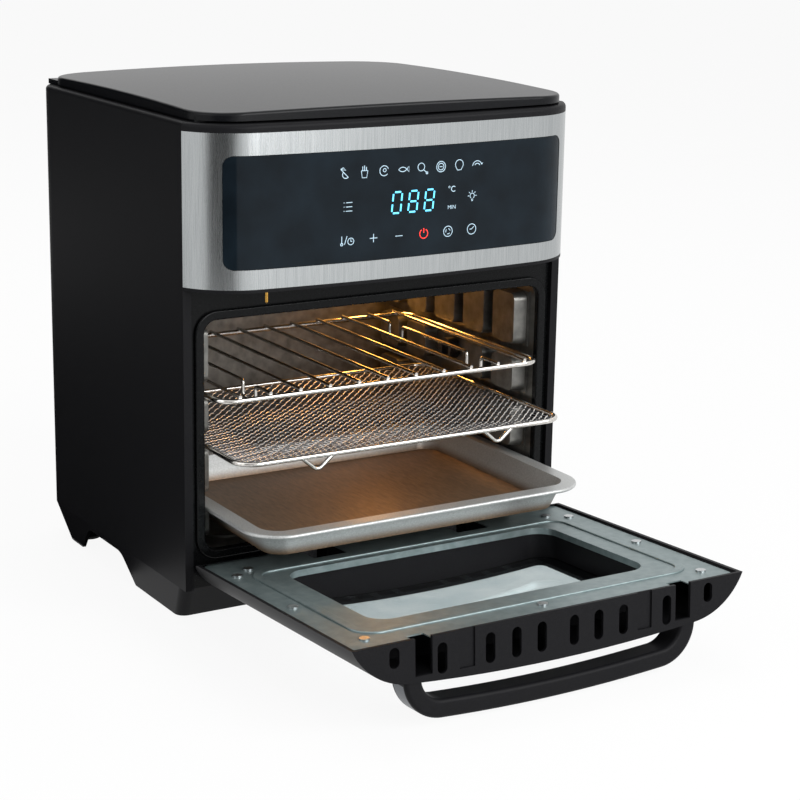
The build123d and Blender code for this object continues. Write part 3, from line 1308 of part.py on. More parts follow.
def switch_plunger():
    x, y = -CATCH_X, Y_FRONT - PLUNGER_SETBACK
    head = SEAM_HEIGHT + CARRIER_SKIN + PLUNGER_FIT
    plunger = rod_z(x, y, PLUNGER_RADIUS, SEAM_HEIGHT - PLUNGER_DROP, head + PLUNGER_HEAD)
    return plunger + rod_z(x, y, PLUNGER_HEAD, head, head + PLUNGER_HEAD)


def cord_gland():
    """A flanged bush in the back wall, open for a lead."""
    inside = Y_BACK - HOUSING_WALL
    gland = rod_y(GLAND_X, GLAND_Z, GLAND_RADIUS, inside, Y_BACK + GLAND_LENGTH)
    gland += rod_y(GLAND_X, GLAND_Z, GLAND_COLLAR, Y_BACK, Y_BACK + GLAND_COLLAR_LENGTH)
    return gland - rod_y(GLAND_X, GLAND_Z, GLAND_BORE, inside, Y_BACK + GLAND_LENGTH)


def body_pieces():
    return {
        "base_tray": base_tray(),
        "foot_pads": foot_pads(),
        "side_panel_right": side_panel(),
        "side_panel_left": mirror(side_panel(), about=Plane.YZ),
        "rear_panel": rear_panel(),
        "rear_screws": rear_screws(),
        "upper_housing": upper_housing(),
        "fascia_carrier": fascia_carrier(),
        "steel_fascia": steel_fascia(),
        "control_panel": control_panel(),
        "display_board": display_board(),
        "top_cover": top_cover(),
        "front_frame": front_frame(),
        "liner_left": liner_left(),
        "liner_right": liner_right(),
        "liner_back": liner_back(),
        "liner_floor": liner_floor(),
        "liner_ceiling": liner_ceiling(),
        "rack_guides_left": rack_guides_left(),
        "rack_guides_right": rack_guides_right(),
        "fan_guard": fan_guard(),
        "fan_shroud": fan_shroud(),
        "heater_element": heater_element(),
        "motor_bracket": motor_bracket(),
        "fan_motor": fan_motor(),
        "lamp_cover": lamp_cover(),
        "lamp_holder": lamp_holder(),
        "lamp_bulb": lamp_bulb(),
        "rotisserie_motor": rotisserie_motor(),
        "spit_rest": spit_rest(),
        "temperature_probe": temperature_probe(),
        "power_board": power_board(),
        "hinge_arm_right": hinge_arm(),
        "hinge_arm_left": mirror(hinge_arm(), about=Plane.YZ),
        "door_switch": door_switch(),
        "cord_gland": cord_gland(),
    }


def moving_pieces():
    return {
        "convection_fan": convection_fan(),
        "fan_shaft": fan_shaft(),
        "cooling_fan": cooling_fan(),
        "rotisserie_coupling": rotisserie_coupling(),
        "switch_plunger": switch_plunger(),
        "wire_rack": wire_rack(),
        "basket_rim": basket_rim(),
        "basket_mesh": basket_mesh(),
        "drip_tray": drip_tray(),
    }


def door_pieces():
    return {
        "door_shell": door_shell(),
        "door_glass": door_glass(),
        "door_inner_panel": door_inner_panel(),
        "door_screws": door_screws(),
        "door_handle": door_handle(),
        "handle_trim": handle_trim(),
        "hinge_pins": hinge_pins(),
    }


def save(name, piece):
    solids = piece if isinstance(piece, list) else [piece]
    export_step(Compound([s for part in solids for s in part.solids()]), f"parts/{name}.step")


def main():
    os.makedirs("parts", exist_ok=True)
    for name, piece in {**body_pieces(), **moving_pieces()}.items():
        save(name, piece)
    for name, piece in door_pieces().items():
        opened = [swing_open(p) for p in piece] if isinstance(piece, list) else swing_open(piece)
        save(name, opened)


main()
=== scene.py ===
# %% [markdown]
# An air-fryer oven with its door down. The solids come from CAD as a fixed frame, in metres.
# This lesson gives them their finishes, adds the fine pieces and lights them as in a small studio.

# %% Load the frame
import bpy
import bmesh
import json
from math import cos, pi, radians, sin, sqrt
from mathutils import Matrix, Vector


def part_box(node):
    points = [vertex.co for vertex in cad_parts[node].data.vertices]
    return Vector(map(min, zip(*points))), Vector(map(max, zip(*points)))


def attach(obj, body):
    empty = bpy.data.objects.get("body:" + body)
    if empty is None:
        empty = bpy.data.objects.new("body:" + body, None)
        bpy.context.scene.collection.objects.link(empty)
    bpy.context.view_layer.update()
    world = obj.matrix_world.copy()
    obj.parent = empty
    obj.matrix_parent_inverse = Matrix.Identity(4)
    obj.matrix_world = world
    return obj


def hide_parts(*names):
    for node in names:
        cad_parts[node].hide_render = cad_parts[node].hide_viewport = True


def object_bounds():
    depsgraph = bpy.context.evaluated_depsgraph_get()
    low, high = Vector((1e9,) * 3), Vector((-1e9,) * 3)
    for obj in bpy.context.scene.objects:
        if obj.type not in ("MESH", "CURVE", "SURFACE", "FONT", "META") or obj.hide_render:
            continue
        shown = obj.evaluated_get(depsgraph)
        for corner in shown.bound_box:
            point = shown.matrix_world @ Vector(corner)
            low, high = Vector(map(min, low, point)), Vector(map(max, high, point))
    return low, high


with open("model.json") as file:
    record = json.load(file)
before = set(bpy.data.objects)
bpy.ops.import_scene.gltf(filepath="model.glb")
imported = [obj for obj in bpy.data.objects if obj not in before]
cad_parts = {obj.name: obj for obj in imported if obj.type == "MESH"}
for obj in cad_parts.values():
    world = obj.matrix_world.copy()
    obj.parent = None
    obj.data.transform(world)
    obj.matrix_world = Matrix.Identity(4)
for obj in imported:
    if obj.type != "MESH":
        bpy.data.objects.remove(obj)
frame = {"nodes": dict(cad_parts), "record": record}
cad_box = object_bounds()
nodes = frame["nodes"]
scene = bpy.context.scene
MM = 0.001
print("CAD box", cad_box)

# %% [markdown]
# A material is a small graph of nodes. One function adds a node, sets its values and joins its inputs, so
# that each finish below reads as a short list. Colours are written as sRGB hex, as a paint chart gives
# them, and one function turns them into the linear light that Blender works in.

# %% Colours and nodes
def srgb(code):
    """A hex colour as linear red, green, blue and alpha."""
    values = [int(code[i:i + 2], 16) / 255 for i in (0, 2, 4)]
    linear = [v / 12.92 if v <= 0.04045 else ((v + 0.055) / 1.055) ** 2.4 for v in values]
    return (*linear, 1.0)


def add(tree, kind, inputs=None, **settings):
    """Adds one node. An input is a plain value or the output of another node."""
    node = tree.nodes.new("ShaderNode" + kind)
    for name, value in settings.items():
        setattr(node, name, value)
    for name, value in (inputs or {}).items():
        if isinstance(value, bpy.types.NodeSocket):
            tree.links.new(value, node.inputs[name])
        else:
            node.inputs[name].default_value = value
    return node


# %% [markdown]
# Nearly every surface here is one colour that a process has made a little uneven: moulding, brushing,
# rolling or coating. A noise stretched along the process's direction shows that. It drives the colour,
# the roughness and a shallow bump together, because on the real thing one cause makes all three.
# The grain is a real size in millimetres, and where it is too fine to show it is drawn coarser.

# %% The shared finish
GRAIN_DEPTH = 0.2 * MM
GRAIN_SPREAD = (0.3, 0.7)


def finish(name, dark, light, grain, stretch=(1, 1, 1), rough=(0.4, 0.5), bump=0.0, **constants):
    """A surface whose grain has a size in millimetres and may be drawn out along an axis."""
    material = bpy.data.materials.new(name)
    material.use_nodes = True
    tree = material.node_tree
    shader = tree.nodes["Principled BSDF"]
    place = add(tree, "TexCoord")
    scale = [1 / (grain * MM * s) for s in stretch]
    mapping = add(tree, "Mapping", {"Vector": place.outputs["Object"], "Scale": scale})
    noise = add(tree, "TexNoise", {"Vector": mapping.outputs["Vector"], "Scale": 1.0, "Detail": 3.0})
    ramp = add(tree, "ValToRGB", {"Fac": noise.outputs["Fac"]})
    for stop, position, code in zip(ramp.color_ramp.elements, GRAIN_SPREAD, (dark, light)):
        stop.position = position
        stop.color = srgb(code)
    tree.links.new(ramp.outputs["Color"], shader.inputs["Base Color"])
    limits = {"Value": noise.outputs["Fac"], "To Min": rough[0], "To Max": rough[1]}
    spread = add(tree, "MapRange", limits)
    tree.links.new(spread.outputs["Result"], shader.inputs["Roughness"])
    if bump:
        relief = {"Height": noise.outputs["Fac"], "Strength": bump, "Distance": GRAIN_DEPTH}
        tree.links.new(add(tree, "Bump", relief).outputs["Normal"], shader.inputs["Normal"])
    for socket, value in constants.items():
        shader.inputs[socket.replace("_", " ")].default_value = value
    return material


# %% [markdown]
# The shells are black ABS from a textured mould, which scatters light into a soft sheen. The cover on
# top is smoother, so it mirrors the studio as a long gradient. The feet are soft rubber.

# %% Plastics and rubber
finishes = {
    "black_abs": finish("moulded black ABS", "131315", "1a1a1c", 0.9, rough=(0.42, 0.5), bump=0.12,
                        Specular_IOR_Level=0.08),
    "satin_cover": finish("satin black ABS", "0c0d0f", "111215", 1.5, rough=(0.28, 0.34), bump=0.03,
                          Specular_IOR_Level=0.14),
    "foot_rubber": finish("moulded rubber", "0c0c0c", "151515", 1.2, rough=(0.75, 0.85), bump=0.2),
    "panel_lens": finish("polished acrylic lens", "10161b", "172027", 30, rough=(0.06, 0.1), IOR=1.49,
                         Specular_IOR_Level=0.12),
    "black_nylon": finish("moulded nylon", "111111", "1a1a1a", 1.0, rough=(0.5, 0.6), bump=0.1),
    "board_green": finish("solder resist", "0b3a20", "145230", 3.0, rough=(0.35, 0.45)),
}
print("plastics", sorted(finishes))

# %% [markdown]
# Brushed stainless steel has hair lines along one direction, and they spread a reflection across it. The
# belt ran upright here, so the grain is drawn out in Z. The chamber's sheet is aluminised and a little
# mottled, and the door's inner sheet is zinc coated, with a cool tint. Wire is drawn and polished bright.

# %% Metals
finishes.update({
    "fascia_steel": finish(
        "brushed stainless steel", "9fa3a4", "b4b7b8", 0.4, (1, 1, 90), (0.24, 0.3), 0.015, Metallic=1.0),
    "handle_silver": finish(
        "satin anodised aluminium", "55585c", "6c6f73", 0.6, (50, 1, 1), (0.34, 0.42), 0.03, Metallic=1.0),
    "liner_steel": finish(
        "aluminised steel sheet", "62625f", "83827e", 9.0, (1, 1, 1), (0.3, 0.42), 0.04, Metallic=0.8),
    "door_sheet": finish(
        "zinc coated steel sheet", "707f80", "859293", 7.0, (1, 1, 1), (0.34, 0.44), 0.02, Metallic=0.6),
    "bright_wire": finish(
        "polished drawn wire", "c2bfba", "dedbd6", 2.0, (1, 1, 1), (0.12, 0.2), 0.0, Metallic=1.0),
    # The net wire is near white with little metal: a painted highlight in place of the studio's reflection.
    "net_wire": finish(
        "crimped wire, painted highlight", "e2e0dc", "f6f4f0", 2.0, (1, 1, 1), (0.22, 0.3), 0.0, Metallic=0.4),
    "screw_zinc": finish("zinc plate", "a4a7a8", "c6c9ca", 1.0, (1, 1, 1), (0.25, 0.35), Metallic=1.0),
    "hinge_steel": finish("stamped steel", "5e5f62", "7c7d80", 2.0, (1, 1, 1), (0.35, 0.45), Metallic=1.0),
    "heater_sheath": finish("heat tinted tube", "3d352e", "5b4d42", 4.0, rough=(0.4, 0.55), Metallic=1.0),
    "fan_alloy": finish("stamped aluminium", "a0a2a4", "c0c2c4", 2.0, rough=(0.3, 0.4), Metallic=1.0),
    "lamp_can": finish("drawn steel can", "86847e", "a5a29b", 3.0, rough=(0.35, 0.45), Metallic=1.0),
    "plunger_brass": finish("turned brass", "b8893a", "d8ab58", 0.8, rough=(0.2, 0.3), Metallic=1.0),
})
print("finishes with metals", len(finishes))

# %% [markdown]
# Enamel and non-stick are coats on steel: a thin skin with a soft gloss over a fine orange peel.

# %% Coated metals
finishes.update({
    "frame_enamel": finish("black enamel", "090a0b", "0f1011", 2.0, rough=(0.22, 0.3), bump=0.05,
                           Specular_IOR_Level=0.12),
    "tray_nonstick": finish("pale non-stick coat", "adafae", "c4c6c5", 1.2, rough=(0.34, 0.44), bump=0.06,
                            Metallic=0.5),
    "motor_iron": finish("varnished laminations", "26262a", "38383c", 0.8, (20, 20, 1), (0.4, 0.5)),
})
print("finishes with coats", len(finishes))

# %% [markdown]
# The tray's floor has browned in the heat, while its walls and rim stay pale. The height above the floor
# tells the two apart, so one finish serves the whole pressing and no seam shows.

# %% Browned tray floor
BROWN_RISE = 9 * MM
STREAK = (2 * MM, 9 * MM, 1 * MM)
tree = finishes["tray_nonstick"].node_tree
skin = tree.nodes["Principled BSDF"].inputs["Base Color"]
place = add(tree, "TexCoord").outputs["Object"]
tray_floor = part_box("drip_tray")[0].z
limits = {"From Min": tray_floor, "From Max": tray_floor + BROWN_RISE}
height = add(tree, "SeparateXYZ", {"Vector": place}).outputs["Z"]
share = add(tree, "MapRange", {"Value": height, **limits}, interpolation_type="SMOOTHSTEP")
grain = add(tree, "Mapping", {"Vector": place, "Scale": [1 / s for s in STREAK]})
streaks = add(tree, "TexNoise", {"Vector": grain.outputs["Vector"], "Scale": 1.0, "Detail": 4.0})
brown = add(tree, "ValToRGB", {"Fac": streaks.outputs["Fac"]})
for stop, code in zip(brown.color_ramp.elements, ("4c3b2c", "9a7d60")):
    stop.color = srgb(code)
both = {0: share.outputs["Result"], 6: brown.outputs["Color"], 7: skin.links[0].from_socket}
tree.links.new(add(tree, "Mix", both, data_type="RGBA").outputs[2], skin)
print("tray floor at", round(tray_floor / MM, 1), "mm")

# %% [markdown]
# Glass shows by its edges, its reflections and what lies behind it, so it gets a Glass-like shader:
# full transmission, an index of 1.52 and a faint blue-grey tint. A trace of handling makes the roughness
# uneven. Every CAD node then takes the finish of its own material slot.

# %% Glass
finishes["clear_glass"] = finish(
    "tempered glass", "c6d6d8", "dce7e8", 40.0, rough=(0.0, 0.03), IOR=1.52, Transmission_Weight=1.0)
for entry in frame["record"]["subparts"]:
    piece = nodes[entry["node"]]
    piece.data.materials.clear()
    piece.data.materials.append(finishes[entry["material_slot"]])

# %% [markdown]
# A small function keeps the end of each new piece the same: a mesh with its place in its vertices, a
# finish, the body that carries it and the CAD parts that it hides in its place.

# %% Ending a piece
def place_piece(name, bm, material, body, replaced=()):
    """Turns a bmesh into an object that rides on a body."""
    mesh = bpy.data.meshes.new(name)
    bm.normal_update()
    bm.to_mesh(mesh)
    bm.free()
    mesh.materials.append(material)
    piece = bpy.data.objects.new(name, mesh)
    scene.collection.objects.link(piece)
    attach(piece, body)
    if replaced:
        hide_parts(*replaced)
    print(name, len(mesh.polygons), "faces")


# %% [markdown]
# Wire, line art and letters all start as curves, because a few points give an even stroke. Two functions
# make such a curve and turn it into a mesh, which then takes the place of the curve.

# %% From curves to meshes
STROKE_ROUNDNESS = 1


def flattened(name, data):
    """The mesh that a curve or a text gives."""
    drawn = bpy.data.objects.new(name, data)
    scene.collection.objects.link(drawn)
    bpy.context.view_layer.update()
    depsgraph = bpy.context.evaluated_depsgraph_get()
    mesh = bpy.data.meshes.new_from_object(drawn.evaluated_get(depsgraph))
    bpy.data.objects.remove(drawn)
    bm = bmesh.new()
    bm.from_mesh(mesh)
    return bm


def drawn_mesh(name, splines, radius):
    """A mesh of round strokes along lists of points."""
    curve = bpy.data.curves.new(name, "CURVE")
    curve.dimensions = "3D"
    curve.bevel_depth = radius
    curve.bevel_resolution = STROKE_ROUNDNESS
    curve.use_fill_caps = True
    for points in splines:
        spline = curve.splines.new("POLY")
        spline.points.add(len(points) - 1)
        for point, place in zip(spline.points, points):
            point.co = (*place, 1)
    return flattened(name, curve)


# %% [markdown]
# The basket is a shallow dish of crimped wire mesh. Two families of strands cross as flat diamonds, and each
# strand goes over one neighbour and under the next. The warp is the thicker wire and is coloured near white,
# a painted highlight, and the weft across it is thinner and coloured a darker grey, a painted shade on the
# same wire.
# A strand has a point at every crossing, so one formula gives the weave and the sloping border. A see-through
# texture would lose the glints.

# %% Basket mesh
DIAMOND_WIDTH, DIAMOND_DEPTH = 7.2 * MM, 5.8 * MM
WARP_RADIUS, WEFT_RADIUS = 0.5 * MM, 0.35 * MM
CRIMP = 0.45 * MM
DISH_DEPTH, DISH_SLOPE = 9 * MM, 44 * MM


def net_strand(low, high, lean, row):
    """One strand's points, from side to side of the basket."""
    points = []
    middle = (low + high) / 2
    steps = int((high.x - low.x) / DIAMOND_WIDTH)
    for step in range(-steps, steps + 1):
        x = middle.x + step * DIAMOND_WIDTH / 2
        y = middle.y + (row + lean * step / 2) * DIAMOND_DEPTH
        inset = min(x - low.x, high.x - x, y - low.y, high.y - y)
        if inset < 0:
            continue
        weave = CRIMP if (step + row) % 2 == (lean > 0) else -CRIMP
        points.append((x, y, middle.z + weave - DISH_DEPTH * min(1.0, inset / DISH_SLOPE)))
    return points


def basket_net(lean, radius):
    """The strands that lean one way."""
    low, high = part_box("basket_mesh")
    rows = int((high.y - low.y + high.x - low.x) / DIAMOND_DEPTH)
    strands = [net_strand(low, high, lean, row) for row in range(-rows, rows + 1)]
    return drawn_mesh("net", [points for points in strands if len(points) > 1], radius)


warp, weft = basket_net(1, WARP_RADIUS), basket_net(-1, WEFT_RADIUS)
# The warp's near-white finish is a painted highlight, and the weft takes the darker hinge steel as painted
# shade.
place_piece("basket_warp", warp, finishes["net_wire"], "basket", ("basket_mesh",))
place_piece("basket_weft", weft, finishes["hinge_steel"], "basket")

# %% [markdown]
# The door switch has a slim turned pin. A spun outline gives its chamfered tip, as a lathe would.

# %% Switch pin
PIN_RADIUS, PIN_TIP = 1.2 * MM, 0.6 * MM
PIN_SIDES = 24
MERGE_GAP = 0.01 * MM


def switch_pin():
    low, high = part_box("switch_plunger")
    middle = (low + high) / 2
    tip = [(0, low.z), (PIN_RADIUS - PIN_TIP, low.z), (PIN_RADIUS, low.z + PIN_TIP)]
    outline = tip + [(PIN_RADIUS, high.z), (0, high.z)]
    bm = bmesh.new()
    verts = [bm.verts.new((middle.x + r, middle.y, z)) for r, z in outline]
    edges = [bm.edges.new(ends) for ends in zip(verts, verts[1:])]
    bmesh.ops.spin(bm, geom=verts + edges, cent=middle, axis=(0, 0, 1), angle=2 * pi, steps=PIN_SIDES,
                   use_merge=True)
    bmesh.ops.remove_doubles(bm, verts=bm.verts, dist=MERGE_GAP)
    bmesh.ops.recalc_face_normals(bm, faces=bm.faces)
    return bm


place_piece("switch_pin", switch_pin(), finishes["plunger_brass"], "plunger",
            ("switch_plunger",))

# %% [markdown]
# The window's edge is coated with black frit, as on most oven doors, so that light doesn't leak along the
# pane. The band is the pane's own rim, drawn in by a hair. A separate ring would have to be fitted to it.

# %% Glass frit
FRIT_INSET = 0.2 * MM
BROAD_FACE = 0.5


def glass_frit():
    """The pane's rim, without its two broad faces."""
    bm = bmesh.new()
    bm.from_mesh(nodes["door_glass"].data)
    bm.normal_update()
    upright = max(bm.faces, key=lambda face: face.calc_area()).normal.copy()
    broad = [face for face in bm.faces if abs(face.normal.dot(upright)) > BROAD_FACE]
    bmesh.ops.delete(bm, geom=broad, context="FACES")
    bm.normal_update()
    for vert in bm.verts:
        vert.co -= vert.normal * FRIT_INSET
    return bm


place_piece("glass_frit", glass_frit(), finishes["frame_enamel"], "door")

# %% [markdown]
# The panel's signs are lit from behind the dark lens. Each is drawn as line art in millimetres on a flat
# sheet, then pressed nearly flat and bent to the bow of the lens. A sign made as geometry stays sharp from
# any distance, where a painted one would blur.

# %% Lit signs
def lit(name, code, strength):
    """Light that shows through the lens, even in colour, with a slightly uneven roughness."""
    material = finish(name, code, code, 6.0, rough=(0.3, 0.4))
    shader = material.node_tree.nodes["Principled BSDF"]
    shader.inputs["Emission Color"].default_value = srgb(code)
    shader.inputs["Emission Strength"].default_value = strength
    return material


BOW_RADIUS = 1.3
STROKE = 0.32
SIGN_RISE = 0.02 * MM
SIGN_FLATNESS = 0.1
lens_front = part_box("control_panel")[0].y
icon_light = lit("backlit sign", "a3bccb", 0.5)
digit_light = lit("display digit", "5cc4ea", 1.2)
power_light = lit("red power sign", "ff3428", 1.3)


def ring(x, z, radius, start=0.0, turn=360.0, points=20):
    """Points round a circle, or along part of it, in degrees."""
    angles = [radians(start + turn * i / points) for i in range(points + 1)]
    return [(x + radius * cos(a), z + radius * sin(a)) for a in angles]


def sign(name, strokes, x, z, material, width=STROKE):
    """Line art about a place on the lens, given in millimetres."""
    paths = [[((x + u) * MM, 0, (z + v) * MM) for u, v in stroke] for stroke in strokes]
    bend_to_lens(name, drawn_mesh(name, paths, width * MM), material)


def bend_to_lens(name, bm, material):
    """Sets a flat sign against the bowed lens."""
    for vert in bm.verts:
        bow = BOW_RADIUS - sqrt(BOW_RADIUS**2 - vert.co.x**2)
        vert.co.y = lens_front + bow - SIGN_RISE + vert.co.y * SIGN_FLATNESS
    place_piece(name, bm, material, "oven_body")


# %% [markdown]
# The upper row holds eight plain food signs: a carrot, a cup of chips, a steak, a fish, a drumstick, a
# pie, a bun and a prawn, all drawn here from simple arcs, so that one loop can set them out evenly.

# %% Food signs
FOOD_X, FOOD_STEP, FOOD_Z = -51.4, 15.83, 329.8
food_signs = {
    "carrot": [[(-3, 3), (3, -3)], [(-3, 3), (-1, 4), (1, 2), (-3, 3)], ring(1, -1, 2.6, 135, 180, 8)],
    "chips": [[(-2.6, 1), (-1.8, -4), (1.8, -4), (2.6, 1), (-2.6, 1)],
              [(-1.5, 1), (-1.5, 4)], [(0, 1), (0, 4.6)], [(1.5, 1), (1.5, 3.6)]],
    "steak": [ring(0, 0, 3.6, 20, 300, 14), ring(0.4, 0.4, 1.2)],
    "fish": [ring(-0.6, -2.6, 4.2, 35, 110, 10), ring(-0.6, 2.6, 4.2, -145, 110, 10),
             [(2.8, 0), (4.6, 2), (4.6, -2), (2.8, 0)]],
    "drumstick": [ring(-1, 0.8, 2.8), [(1, -1.2), (3.6, -3.4)], ring(3.9, -3.7, 0.7)],
    "pie": [ring(0, 0, 3.8), ring(0, 0, 2.4), [(-1.2, 0), (1.2, 0)]],
    "bun": [ring(0, 0.6, 3.4, -20, 220, 14), [(-3.2, -0.6), (-1.6, -3.4), (1.6, -3.4), (3.2, -0.6)]],
    "prawn": [ring(0, -2, 4.2, 20, 150, 12), ring(0, -2, 2.4, 20, 130, 10), [(3.9, -0.6), (4.8, 0.6)]],
}
for place, (name, strokes) in enumerate(food_signs.items()):
    sign("sign_" + name, strokes, FOOD_X + place * FOOD_STEP, FOOD_Z, icon_light)

# %% [markdown]
# The lower row holds the touch keys, with the power key in red. The menu and lamp keys stand at the middle
# height, on either side of the display.

# %% Keys
KEY_X, KEY_STEP, KEY_Z = -48.5, 20.86, 282.3
MENU_X, LAMP_SIGN_X, MIDDLE_Z = -48.4, 55.6, 306.0
rays = [[(2.8 * cos(a), 0.8 + 2.8 * sin(a)), (3.9 * cos(a), 0.8 + 3.9 * sin(a))]
        for a in (0, pi / 4, pi / 2, 3 * pi / 4, pi)]
key_signs = {
    "temperature_time": [[(-4.6, 3), (-4.6, -2.6)], ring(-4.6, -2.8, 0.9), [(-2.4, -3), (-0.4, 3)],
                         ring(2.6, -1, 2.4), [(2.6, 0.6), (2.6, -1), (3.8, -1)]],
    "plus": [[(-3, 0), (3, 0)], [(0, -3), (0, 3)]],
    "minus": [[(-3, 0), (3, 0)]],
    "power": [ring(0, 0, 3.4, 120, 300, 18), [(0, 0.6), (0, 4)]],
    "fan": [ring(0, 0, 3.8)] + [ring(0, 0, 1.9, turn, 70, 6) for turn in (10, 130, 250)],
    "clock": [ring(0, 0, 3.8), [(2, 1.8), (0, 0), (-1.8, 0)]],
}
for place, (name, strokes) in enumerate(key_signs.items()):
    material = power_light if name == "power" else icon_light
    sign("key_" + name, strokes, KEY_X + place * KEY_STEP, KEY_Z, material)
lines = [[(-1.6, h), (3.4, h)] for h in (-3, 0, 3)] + [[(-3.4, h), (-2.8, h)] for h in (-3, 0, 3)]
sign("key_menu", lines, MENU_X, MIDDLE_Z, icon_light)
bulb = [ring(0, 0.8, 1.9, -60, 300, 14), [(-0.9, -1.8), (0.9, -1.8)], [(-0.7, -2.8), (0.7, -2.8)]]
sign("key_lamp", bulb + rays, LAMP_SIGN_X, MIDDLE_Z, icon_light)

# %% [markdown]
# The three digits are seven-segment figures that lean a little. A table of lit segments, here for 0 and 8,
# and one function for a segment give each figure, as a real display does. The two unit words are plain text.

# %% Display
DIGIT_X, DIGIT_STEP, DIGIT_Z = -8.8, 13.55, MIDDLE_Z + 0.4
DIGIT_WIDTH, DIGIT_HEIGHT, DIGIT_LEAN = 7.2, 15.0, 0.1
SEGMENT_GAP, SEGMENT_STROKE = 1.1, 0.75
SEGMENTS = {"0": "abcdef", "8": "abcdefg"}


def segment(letter):
    """The two ends of one segment about the figure's middle."""
    w, h, g = DIGIT_WIDTH / 2, DIGIT_HEIGHT / 2, SEGMENT_GAP
    ends = {
        "a": ((-w + g, h), (w - g, h)), "g": ((-w + g, 0), (w - g, 0)), "d": ((-w + g, -h), (w - g, -h)),
        "f": ((-w, h - g), (-w, g)), "b": ((w, h - g), (w, g)),
        "e": ((-w, -g), (-w, -h + g)), "c": ((w, -g), (w, -h + g)),
    }
    return [(u + v * DIGIT_LEAN, v) for u, v in ends[letter]]


for place, figure in enumerate("088"):
    strokes = [segment(letter) for letter in SEGMENTS[figure]]
    x = DIGIT_X + place * DIGIT_STEP
    sign("digit_%d" % place, strokes, x, DIGIT_Z, digit_light, SEGMENT_STROKE)


def word(name, text, x, z, size):
    """A short word on the lens, as a flat mesh of its letters."""
    letters = bpy.data.curves.new(name, "FONT")
    letters.body = text
    letters.size = size * MM
    letters.align_x = "CENTER"
    letters.align_y = "CENTER"
    bm = flattened(name, letters)
    bmesh.ops.rotate(bm, verts=bm.verts, matrix=Matrix.Rotation(pi / 2, 3, "X"))
    bmesh.ops.translate(bm, verts=bm.verts, vec=(x * MM, 0, z * MM))
    bend_to_lens(name, bm, icon_light)


word("unit_celsius", "°C", 37.5, 312.8, 6.0)
word("unit_minutes", "MIN", 37.8, 299.7, 4.0)

# %% [markdown]
# The lamp in the chamber is lit. A warm lamp just under its cover gives the glow on the racks and the
# back wall. A point lamp with a small radius gives soft shadows, where a glowing bulb would be noisy.

# %% Chamber lamp
CHAMBER_GAP = 6 * MM
lamp_low, lamp_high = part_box("lamp_cover")


def lamp(name, kind, place, energy, colour, size, target=None):
    """A lamp with its power in watts and its size in metres."""
    light = bpy.data.lights.new(name, kind)
    light.energy = energy
    light.color = srgb(colour)[:3]
    if kind == "AREA":
        light.shape = "DISK"
        light.size = size
    else:
        light.shadow_soft_size = size
    holder = bpy.data.objects.new(name, light)
    holder.location = place
    if target is not None:
        holder.rotation_euler = (Vector(target) - Vector(place)).to_track_quat("-Z", "Y").to_euler()
    scene.collection.objects.link(holder)


chamber = (*((lamp_low + lamp_high) / 2).xy, lamp_low.z - CHAMBER_GAP)
lamp("chamber_lamp", "POINT", chamber, 0.42, "ffae50", 0.02)

# %% [markdown]
# The world and the pale floor look white to the camera, to gloss and through glass, while the object is lit
# at a plain level. The kind of ray tells the two apart, so the background needs no extra light.

# %% World
SOFT_LEVEL = 0.35


def pale(tree):
    """True for rays that the camera, gloss or glass sends."""
    path = add(tree, "LightPath").outputs
    first = add(tree, "Math", {0: path["Is Camera Ray"], 1: path["Is Glossy Ray"]}, operation="MAXIMUM")
    pair = {0: first.outputs[0], 1: path["Is Transmission Ray"]}
    return add(tree, "Math", pair, operation="MAXIMUM").outputs[0]


world = bpy.data.worlds.new("studio")
world.use_nodes = True
scene.world = world
tree = world.node_tree
soft = add(tree, "Background", {"Color": srgb("ffffff"), "Strength": SOFT_LEVEL})
white = add(tree, "Background", {"Color": srgb("ffffff"), "Strength": 1.0})
mixed = add(tree, "MixShader", {0: pale(tree), 1: soft.outputs[0], 2: white.outputs[0]})
tree.links.new(mixed.outputs[0], tree.nodes["World Output"].inputs["Surface"])

# %% [markdown]
# The floor is one wide matte sheet. Most of what the camera sees of it is its own white, and the rest is lit,
# so that the object keeps a faint shadow.

# %% Floor
FLOOR_SIZE = 20.0
FLOOR_SHARE = 0.92
bm = bmesh.new()
bmesh.ops.create_grid(bm, x_segments=1, y_segments=1, size=FLOOR_SIZE)
mesh = bpy.data.meshes.new("floor")
bm.to_mesh(mesh)
bm.free()
floor = bpy.data.objects.new("floor", mesh)
scene.collection.objects.link(floor)
cloth = bpy.data.materials.new("pale studio floor")
cloth.use_nodes = True
tree = cloth.node_tree
tree.nodes.remove(tree.nodes["Principled BSDF"])
matte = add(tree, "BsdfDiffuse", {"Color": srgb("f4f4f4")})
glow = add(tree, "Emission", {"Color": srgb("ffffff"), "Strength": 1.0})
share = add(tree, "Math", {0: pale(tree), 1: FLOOR_SHARE}, operation="MULTIPLY")
mixed = add(tree, "MixShader", {0: share.outputs[0], 1: matte.outputs[0], 2: glow.outputs[0]})
tree.links.new(mixed.outputs[0], tree.nodes["Material Output"].inputs["Surface"])
mesh.materials.append(cloth)

# %% [markdown]
# Four round soft boxes light the object: a key from the front right, a low fill, a weak one from the left and
# one above. Large boxes give the long soft gradients of a product photo.

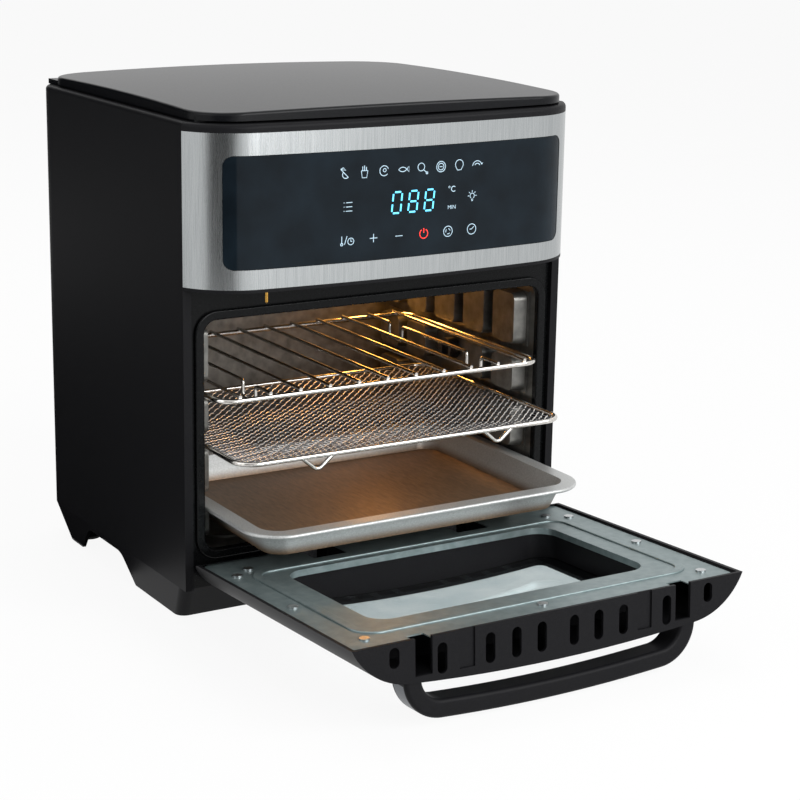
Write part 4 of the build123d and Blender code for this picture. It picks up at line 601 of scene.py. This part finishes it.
# %% Soft boxes
middle = (cad_box[0] + cad_box[1]) / 2
lamp("key_softbox", "AREA", (1.2, -2.0, 1.6), 38, "ffffff", 1.5, middle)
lamp("low_softbox", "AREA", (0.3, -2.2, 0.75), 20, "ffffff", 0.9, middle)
lamp("side_softbox", "AREA", (-2.2, -0.4, 1.2), 8, "ffffff", 1.6, middle)
lamp("top_softbox", "AREA", (0.2, 0.9, 2.3), 20, "ffffff", 1.8, middle)

# %% [markdown]
# Black cards stand just out of the picture, as in a product studio. Only reflections see them: one beside
# the camera draws the dark band down the bent end of the steel, and two behind keep the side deep black.

# %% Black cards
black_felt = finish("black felt", "020202", "040404", 5.0, rough=(0.9, 1.0), Specular_IOR_Level=0.0)


def card(name, place, size, target):
    """A black sheet that faces a place and shows in gloss alone."""
    bm = bmesh.new()
    facing = (Vector(target) - Vector(place)).to_track_quat("Z", "Y").to_matrix().to_4x4()
    bmesh.ops.create_grid(bm, size=size / 2, matrix=Matrix.Translation(place) @ facing)
    mesh = bpy.data.meshes.new(name)
    bm.to_mesh(mesh)
    bm.free()
    mesh.materials.append(black_felt)
    sheet = bpy.data.objects.new(name, mesh)
    sheet.visible_camera = False
    sheet.visible_diffuse = False
    sheet.visible_transmission = False
    sheet.visible_shadow = False
    scene.collection.objects.link(sheet)


card("camera_card", (-0.72, -0.86, 0.12), 0.8, middle)
card("side_card", (-0.85, 1.35, 0.45), 1.7, middle)
card("floor_card", (-0.5, 0.55, 0.003), 1.1, (-0.5, 0.55, 1.0))

# %% [markdown]
# The photo was taken from the front left, a little above the oven, with a long lens. The camera was fitted
# to the corners of the body, so its place, turn and lens come from that.

# %% Camera
CAMERA_PLACE = (-0.7663, -1.4009, 0.5464)
CAMERA_PITCH, CAMERA_YAW, CAMERA_ROLL = 14.76, 31.41, 1.0
LENS, SENSOR = 93.39, 36.0
view = bpy.data.cameras.new("camera")
view.sensor_width = SENSOR
view.lens = LENS
camera = bpy.data.objects.new("camera", view)
camera.location = CAMERA_PLACE
turn = Matrix.Rotation(radians(-CAMERA_YAW), 3, "Z") @ Matrix.Rotation(radians(90 - CAMERA_PITCH), 3, "X")
camera.rotation_euler = (turn @ Matrix.Rotation(radians(CAMERA_ROLL), 3, "Z")).to_euler()
scene.collection.objects.link(camera)
scene.camera = camera
scene.view_settings.view_transform = "Standard"
